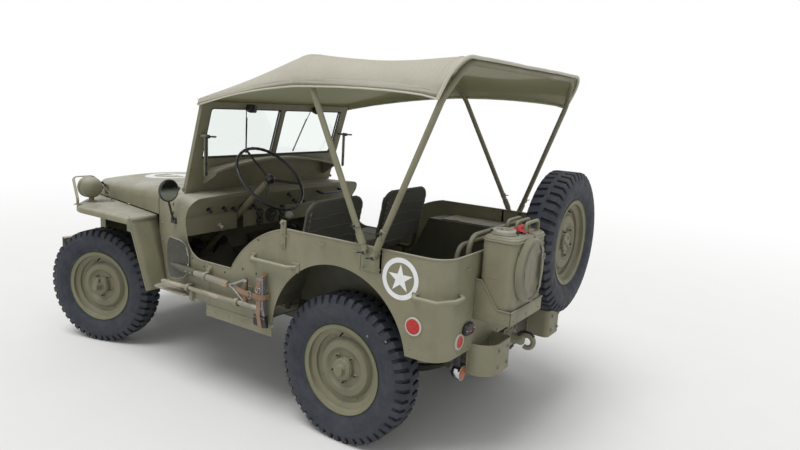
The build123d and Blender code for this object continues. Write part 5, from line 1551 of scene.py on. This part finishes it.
def make_dash():
    """Instruments, knobs, a grab bar and blank plates on the panel, and the lever's knob and pedal pads."""
    form = Form()
    face_x = 0.1495
    small_dials = [(y, z, 0.0225) for y in (0.185, -0.008) for z in (0.925, 0.874)]
    for y, z, radius in [(0.09, 0.902, 0.04), *small_dials]:
        at = facing_back(face_x, y, z)
        form.lathe([(radius + 0.005, 0), (radius + 0.005, 0.006), (radius + 0.002, 0.009), (radius, 0.009),
                    (radius - 0.001, 0.006)], at, 36, 3)
        form.lathe([(radius - 0.001, 0.005), (radius - 0.001, 0.0062)], at, 32, 1)
        for k in range(9):
            tick = at @ turned(30 * k - 30)
            form.block((radius * 0.72, -0.0007, 0.0062), (radius * 0.9, 0.0007, 0.0068), 0, tick, 2)
        needle = at @ turned(205)
        form.block((-0.004, -0.0008, 0.0066), (radius * 0.7, 0.0008, 0.0074), 0, needle, 2)
    slope = (-0.884, 0, -0.468)
    knobs = [
        # (y, z, material)
        (0.485, 0.985, 3), (0.5, 0.887, 2), (0.293, 0.976, 3), (0.41, 0.975, 3), (0.595, 0.989, 3),
        (0.25, 0.975, 3), (-0.1, 0.975, 3), (-0.18, 0.975, 3), (-0.024, 1.025, 3),
    ]
    for y, z, finish in knobs:
        x = min(face_x, 0.154 - (z - 0.948) / 0.102 * 0.054)
        at = place_at((x, y, z), slope, (0, 1, 0))
        form.lathe([(0.013, 0), (0.013, 0.002), (0.0045, 0.003), (0.0045, 0.016), (0.0095, 0.018),
                    (0.011, 0.024), (0.008, 0.029)], at, 20, finish)
    for y in (-0.3, -0.42):
        form.block((-0.034, -0.02, 0), (0.034, 0.02, 0.0016), 0.0006, facing_back(face_x, y, 0.905), 4)
    form.block((-0.15, -0.038, 0), (0.15, 0.038, 0.005), 0.003, facing_back(face_x, -0.5, 0.9))
    bar = [(0.115, -0.3, 1.02), (0.07, -0.3, 1.01), (0.07, -0.52, 1.01), (0.115, -0.52, 1.02)]
    form.tube(rounded_path(bar, 0.02), 0.008, 12, 3)
    # The long plate, material 0, takes the olive darkened as painted shade
    form.object("dash_fittings", [painted_shade_olive, dial_face, cream, black_paint, brass])
    controls = Form()
    tip = Vector((0.06, 0.025, 0.9))
    lever = (tip - Vector((0.3, 0.0, 0.612))).normalized()
    at = place_at(tip + lever * 0.003, lever, (0, 1, 0))
    controls.lathe(arc((0, 0), 0.0255, -78, 78, 13), at, 28, 1)
    for pedal_y in (0.44, 0.25):
        pad = place_at((0.4195, pedal_y, 0.7225), (-0.004, 0, 0.006), (0, 1, 0))
        controls.prism(slot_outline(0.09, 0.066), 0.006, pad, 0.002)
        for x in (-0.024, -0.012, 0.0, 0.012, 0.024):
            controls.block((x - 0.003, -0.026, 0.006), (x + 0.003, 0.026, 0.0085), 0.0008, pad)
    for boot_x, boot_y in ((0.295, 0.0), (0.226, -0.055), (0.226, -0.026)):
        controls.lathe([(0.03, 0.001), (0.029, 0.006), (0.02, 0.012), (0.016, 0.024), (0.009, 0.034)],
                       shift(boot_x, boot_y, 0.615), 20)
    controls.object("controls", [gasket, cream])


# Seats: each back is a cloth laced round the tube, seen from behind
seat_tube = 0.0125
seat_rear_x = -0.5
seat_rail_z = 0.705
seat_side_y = (0.125, 0.55)
seat_middle_y = sum(seat_side_y) / 2
seat_back = Vector((-0.575, 0, 1.105))


def seat_back_point(across, up, lift):
    """A point near the seat back's plane: across in y, up along the back, lift to the rear."""
    foot = Vector((seat_rear_x, 0, seat_rail_z))
    along = (seat_back - foot).normalized()
    rearward = Vector((-along.z, 0, along.x))
    return foot + along * up + rearward * lift + Vector((0, across, 0))


def make_seat_back(name, sign, body):
    """The canvas of one seat back, wrapped round its tube, with stitched lines and lacing studs."""
    length = (seat_back - Vector((seat_rear_x, 0, seat_rail_z))).length
    middle = sign * seat_middle_y
    half = (seat_side_y[1] - seat_side_y[0]) / 2
    skin = seat_tube + 0.0022
    bend = 0.05
    wrap_from = 0.86
    levels = 26
    middle_column = 20
    rows = []
    shares = spread(-1, 1, 2 * middle_column)
    for up in spread(0.105, length, levels):
        over = max(0, up - (length - bend))
        reach = half - bend + math.sqrt(max(0, bend ** 2 - over ** 2))
        row = []
        for share in shares:
            if abs(share) > wrap_from:
                turn = (abs(share) - wrap_from) / (1 - wrap_from) * math.radians(200)
                y = reach + skin * math.sin(turn)
                lift = skin * math.cos(turn)
            else:
                y = reach * abs(share) / wrap_from
                hollow = math.cos(share / wrap_from * math.pi / 2)
                hollow *= math.sin(math.pi * min(1, (up - 0.05) / length))
                lift = skin - 0.01 * hollow
            wave = 0.0012 * noise.noise(Vector((share * 5, up * 18, sign * 3.0)))
            row.append(seat_back_point(middle + math.copysign(y, share), up, lift + wave))
        rows.append(row)
    for k in range(1, 9):
        turn = math.radians(25 * k)
        across = [middle + (half - bend) * max(-1, min(1, share / wrap_from)) for share in shares]
        up, lift = length + skin * math.sin(turn), skin * math.cos(turn)
        rows.append([seat_back_point(y, up, lift) for y in across])
    form = Form()
    form.grid(rows)
    cloth_piece = form.object(name + "_cloth", seat_canvas, body, 180)
    thicken(cloth_piece, 0.0016)
    rearward = seat_back_point(0, 0, 1) - seat_back_point(0, 0, 0)
    trim = Form()
    for level in (0.3, 0.52, 0.74):
        line = []
        for k in range(-16, 17):
            sag = math.cos(k / middle_column * math.pi / 2)
            row = rows[min(levels, round(level * levels + 1.4 * sag))]
            line.append(row[middle_column + k] + Vector((-0.0012, 0, -0.01 * sag)))
        trim.tube(line, 0.0017, 6)
    for side in (1, -1):
        trim.tube(moved([row[middle_column + 17 * side] for row in rows[:levels - 2]], -0.0015), 0.0019, 6)
        for k in range(8):
            up = 0.125 + 0.033 * k
            at = place_at(seat_back_point(middle + side * half, up, skin), rearward, (0, 1, 0))
            trim.lathe([(0.0052, 0), (0.0048, 0.0018), (0.002, 0.0026)], at, 12, 1)
    stitches = trim.object(name + "_trim", [seat_piping, brass], body, 60)


def make_seats():
    """Cushions of both front seats and the folded rear seat, and the cloth on the backs."""
    lean = math.atan2(0.056, 0.286)
    for sign, name, body, replaced in ((1, "driver", "root", "seat_cushions"),
                                       (-1, "passenger", "passenger_seat", "passenger_seat_cushions")):
        base = shift(-0.3, sign * seat_middle_y, 0.7562)
        make_pad(f"{name}_base_pad", (0.338, 0.405, 0.076), base, body, replaced, (0.0,), 0.014,
                 seat_top_canvas)
        ahead = (math.cos(lean), 0, math.sin(lean))
        back = place_at((-0.5078, sign * seat_middle_y, 0.949), ahead, (0, 1, 0))
        make_pad(f"{name}_back_pad", (0.382, 0.284, 0.044), back, body, replaced, (-0.34, 0.34), 0.01)
        make_seat_back(f"{name}_back", sign, body)
    rear = facing_front(-1.374, 0, 0.8)
    make_pad("rear_seat_pad", (0.806, 0.318, 0.042), rear, "root", "seat_cushions", (0.0,), 0.008)


def make_side_hardware():
    """Bolts beside the door, handle flanges, the step, the post and seams on the tub's sides."""
    form = Form()
    door_bolts = [
        # (x, z), up the sloping edge, along the sill and up the front post
        (-0.411, 0.925), (-0.359, 0.844), (-0.302, 0.757), (-0.17, 0.714), (-0.01, 0.716), (0.087, 0.743),
        (0.181, 0.799), (0.218, 0.808), (-0.476, 0.827), (-0.399, 0.751),
    ]
    for sign in (1, -1):
        for x, z in door_bolts:
            form.rivet(on_side(sign, x, z), 0.005, 1)
        for x, z, half in ((-0.376, 0.833, 0.024), (-0.661, 0.833, 0.024), (-1.337, 0.838, 0.016)):
            flange = on_side(sign, x, z)
            form.prism([(-half, -half), (half, -half), (half, half), (-half, half)], 0.005, flange, 0.0015)
            for spot in around(flange, 4, half * 0.66 * math.sqrt(2), 0.005, 0.5):
                form.bolt(spot, half * 0.16)
        seam = [(-0.05, sign * (side_y + 0.0006), z) for z in (0.735, 0.62, 0.5)]
        form.strap(seam, 0.01, 0.0016, (1, 0, 0))
        edge = [(x, sign * (side_y + 0.0012), 0.504) for x in (-0.03, -0.25, -0.53)]
        form.strap(edge, 0.012, 0.0035, (0, 0, 1))
        for x in (-0.1, -0.2, -0.3, -0.4, -0.5):
            form.rivet(on_side(sign, x, 0.478), 0.0045)
        for x in (-0.6, -0.82, -1.02):
            footman_loop(form, on_side(sign, x, 0.978))
        for x, z in ((0.5, 0.86), (0.5, 0.76), (0.5, 0.66), (0.5, 0.56), (0.32, 0.545)):
            form.bolt(on_side(sign, x, z), 0.0055)
        for x in (-1.1, -1.2, -1.32):
            form.rivet(on_side(sign, x, 0.6), 0.0055)
    step = rounded_path([(0.105, 0.742, 0), (0.105, 0.782, 0), (0.39, 0.782, 0), (0.39, 0.672, 0)], 0.05, 8)
    outline = [(p.x, p.y) for p in step] + [(0.39, side_at(0.39) - 0.002), (0.13, side_at(0.13) - 0.002)]
    form.prism(outline, 0.006, shift(0, 0, 0.532), 0.002)
    for x in (0.17, 0.25, 0.33):
        for y in (0.738, 0.756):
            form.block((x - 0.022, y, 0.5375), (x + 0.022, y + 0.008, 0.5405), 0.001)
    for x in (0.15, 0.34):
        form.bolt(Matrix.Translation((x, side_at(x) + 0.014, 0.538)), 0.006)
    form.block((-0.596, side_y, 0.916), (-0.564, side_y + 0.008, 1.052), 0.002)
    form.lathe([(0.009, 0), (0.009, 0.012), (0.0065, 0.016)], on_side(1, -0.58, 1.04, 0.008), 16)
    for z in (0.936, 0.985):
        form.bolt(on_side(1, -0.58, z, 0.008), 0.0065)
    form.object("side_hardware", [olive, black_paint])


def make_bow_feet():
    """Brackets, clamps and wing screws at the feet of the bows."""
    form = Form()
    for sign in (1, -1):
        for x, z in ((-1.078, 0.987), (-1.128, 0.97)):
            form.lathe([(0.015, 0), (0.015, 0.004), (0.01, 0.006)], on_side(sign, x, z, 0.03), 18)
            wing_nut(form, on_side(sign, x, z, 0.033), 0.01, 1)
        for x in (-1.145, -1.062):
            for z in (0.916, 0.992):
                form.bolt(on_side(sign, x, z, 0.005), 0.006)
        for foot, top in (((-1.078, 0.993), (-0.65, 1.8095)), ((-1.128, 0.976), (-1.443, 1.8095))):
            along = Vector((top[0] - foot[0], 0, top[1] - foot[1])).normalized()
            line = ((0.0195, 0.03), (0.0185, 0.085), (0.0195, 0.105), (0.0185, 0.125), (0.0355, 0.115))
            points = [Vector((foot[0], sign * (side_y + out), foot[1])) + along * up for out, up in line]
            for ends in (points[:2], points[2:4]):
                form.tube(ends, 0.0168, 16)
            wing_nut(form, facing_side(sign, *points[4]), 0.009, 1)
        for x in (-1.154, -1.041):
            form.block((x - 0.008, side_y - 0.004, 0.9), (x + 0.008, side_y + 0.005, 1.006), 0.002,
                       Matrix.Scale(sign, 4, (0, 1, 0)))
    form.object("bow_fittings", [olive, black_paint])


hood_front_x, hood_front_y = 1.45, 0.43
hood_rear_x, hood_rear_y = 0.562, 0.6
catch_x = 1.3


def make_hood_fittings():
    """Catches on the hood's sides and bolts of its hinge."""
    form = Form()
    for sign in (1, -1):
        share = (hood_front_x - catch_x) / (hood_front_x - hood_rear_x)
        wall = hood_front_y + (hood_rear_y - hood_front_y) * share
        at = place_at((catch_x, sign * (wall + 0.001), 0.955), (0.18, sign, 0), (0, 0, 1))
        form.prism(slot_outline(0.07, 0.024), 0.006, at, 0.0015)
        handle = ((0.022, 0, 0.01), (0.0, 0, 0.016), (-0.04, 0, 0.012))
        form.tube([at @ Vector(p) for p in handle], 0.0055, 10)
        wing_nut(form, at @ shift(0.022, 0, 0.012), 0.012, 1)
        form.bolt(at @ shift(-0.024, 0, 0.006), 0.005)
    for y in (-0.05, 0.0, 0.05):
        form.bolt(shift(0.59, y, 1.0825), 0.005)
    form.object("hood_fittings", [olive, black_paint], "hood")


bumper_front_x = 1.68


def make_front_details():
    """Bolts and shackles of the bumper and grille, the crank guide and the radiator's shroud."""
    form = Form()
    for sign in (1, -1):
        for y in (0.318, 0.372):
            for z in (0.48, 0.54):
                form.bolt(facing_front(bumper_front_x, sign * y, z), 0.009)
        for z in (0.64, 0.72, 0.92):
            form.bolt(facing_front(grille_face_x, sign * 0.4, z), 0.0055)
        line = ((1.64, 0.575), (1.64, 0.612), (1.6, 0.612), (1.6, 0.575))
        form.tube(rounded_path([(x, sign * 0.345, z) for x, z in line], 0.018), 0.01, 12)
    form.lathe([(0.028, 0), (0.028, 0.006), (0.02, 0.008), (0.018, 0.003)],
               facing_front(bumper_front_x, 0, 0.51), 28)
    for y in (-0.16, 0.0, 0.16):
        form.bolt(facing_front(grille_face_x, y, 0.585), 0.0055)
    form.object("front_details", [olive])
    shroud = Form()
    shroud.block((1.334, -0.268, 0.642), (1.34, 0.268, 0.903), 0.001)
    for y in (-0.262, 0.262):
        shroud.block((1.326, y - 0.004, 0.642), (1.336, y + 0.004, 0.903), 0.001)
    # The shroud takes the olive darkened as painted shade
    shroud.object("radiator_shroud", [painted_shade_olive])


rail_side_y = 0.371


def make_chassis_details():
    """Spring clips and U-bolts, axle covers, frame rivets and pipe clamps."""
    form = Form()
    for axle_x in (rear_axle_x, front_axle_x):
        for sign in (1, -1):
            for step in (-0.032, 0.032):
                line = ((0.308, 0.405), (0.308, 0.3), (0.384, 0.3), (0.384, 0.405))
                loop = [(axle_x + step, sign * y, z) for y, z in line]
                form.tube(rounded_path(loop, 0.02), 0.006, 10, 1)
        away = math.copysign(1, axle_x)
        cover = place_at((axle_x + 0.1 * away, -0.19, 0.366), (away, 0, 0), (0, 1, 0))
        for spot in around(cover, 10, 0.062):
            form.bolt(spot, 0.006)
    rivet_rows = [
        # (heights, places along the frame's rail)
        ((0.46, 0.51), (-1.4, -1.3, -0.52)),
        ((0.432, 0.48), (-0.36, 0.1)),
        ((0.49, 0.54), (0.6, 0.94, 1.36, 1.5)),
    ]
    for sign in (1, -1):
        for heights, places in rivet_rows:
            for x in places:
                for z in heights:
                    form.rivet(facing_side(sign, x, sign * rail_side_y, z), 0.007)
    for x in (-0.18, -0.43):
        ring(form, facing_front(x, -0.44, 0.385), 0.0635, 0.004, 1, 32)
    # Clips, bolts and rivets take the chassis olive darkened as painted shade; the clamps take rust
    form.object("chassis_details", [painted_shade_chassis, rust], "root")


floor_z = 0.535
rear_floor_z = 0.6
lid_z = 0.932


def make_floor_details():
    """Ribs, plugs and box lids inside the tub."""
    form = Form()
    for sign in (1, -1):
        for y in (0.14, 0.22, 0.3, 0.38, 0.46, 0.54):
            form.tube([(-0.44, sign * y, floor_z), (0.07, sign * y, floor_z)], 0.008, 8, 0, 0.5)
        form.block((-1.18, -0.1, lid_z - 0.006), (-0.72, 0.1, lid_z), 0.002, shift(0, sign * 0.628, 0), 1)
        form.tube([(-1.18, sign * 0.728, 0.93), (-0.72, sign * 0.728, 0.93)], 0.005, 8)
        for x in (-1.08, -0.82):
            at = shift(x, sign * 0.545, 0)
            form.block((-0.02, -0.008, lid_z), (0.02, 0.008, lid_z + 0.004), 0.001, at, 1)
    for y in (-0.42, -0.28, -0.14, 0.0, 0.14, 0.28, 0.42):
        form.tube([(-1.3, y, rear_floor_z), (-0.56, y, rear_floor_z)], 0.008, 8, 0, 0.5)
    for x, y, z in ((-0.3, 0.02, floor_z), (-0.9, 0.2, rear_floor_z), (-0.9, -0.2, rear_floor_z)):
        form.lathe([(0.03, 0), (0.03, 0.003), (0.022, 0.005), (0.01, 0.005)], shift(x, y, z), 24)
    # Ribs, plugs and the rail take the olive darkened as painted shade; the lids take the olive
    form.object("floor_details", [painted_shade_olive, olive])


def make_rear_panel_details():
    """Rivets and seams of the rear panel, footman loops and a blank plate."""
    form = Form()
    for y in spread(-0.6, 0.6, 12):
        if abs(y) > 0.05:
            form.rivet(facing_back(tub_rear, y, 0.582), 0.0052)
    for y in (-0.6, -0.06, 0.06, 0.56):
        footman_loop(form, facing_back(tub_rear, y, 0.95))
    form.block((-0.09, -0.045, 0), (0.09, 0.045, 0.0022), 0.001, facing_back(tub_rear, -0.4, 0.64))
    for y in (-0.47, -0.33):
        form.bolt(facing_back(tub_rear - 0.0022, y, 0.64), 0.004)
    form.object("rear_panel_details", olive)


def make_mirror_face():
    """The silvered face and rim of the mirror, and the clamp behind it."""
    low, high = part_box("mirror")
    radius = 0.06
    at = facing_back(low.x, high.y - radius, high.z - radius)
    form = Form()
    form.lathe([(radius, -0.013), (radius + 0.002, -0.01), (radius + 0.002, 0.0005), (radius - 0.002, 0.0022),
                (radius - 0.0045, 0.0012)], at, 48)
    form.lathe([(radius - 0.0048, 0.0008), (radius - 0.0048, 0.0018)], at, 48, 1)
    form.lathe([(0.017, -0.0135), (0.016, -0.02), (0.009, -0.026)], at, 24)
    form.object("mirror_face", [black_paint, mirror_glass], "root")


set_camera()
make_studio()
finish_nodes()
for wheel, matrix in wheel_matrices().items():
    wheel_body = "root" if wheel == "spare" else f"wheel_{wheel}"
    make_tyre(f"tyre_{wheel}", matrix, wheel_body)
    make_wheel_fittings(wheel, matrix, wheel_body)
for make in (
        make_canopy, make_seats, make_edge_bead, make_side_hardware, make_bow_feet, make_can_body, make_can,
        make_rag, make_bucket, make_can_strap, make_carriers, make_rear_bumpers, make_rear_lamps,
        make_rear_panel_details, make_shovel, make_axe, make_tool_holders, make_windscreen_fittings,
        make_steering_wheel, make_dash, make_mirror_face, make_front_lamps, make_fenders, make_hood_fittings,
        make_front_details, make_chassis_details, make_floor_details):
    make()
for side_name, sign in (("left", 1), ("right", -1)):
    star_plane = place_at((-1.256, sign * side_y, 0.897), (0, sign, 0), (-sign, 0, 0))
    make_star(f"side_star_{side_name}", star_plane, 0.0925, "root")
make_star("hood_star", place_at((1.1, 0.0, 1.1), (0, 0, 1), (0, -1, 0)), 0.255, "hood", nodes["hood"])
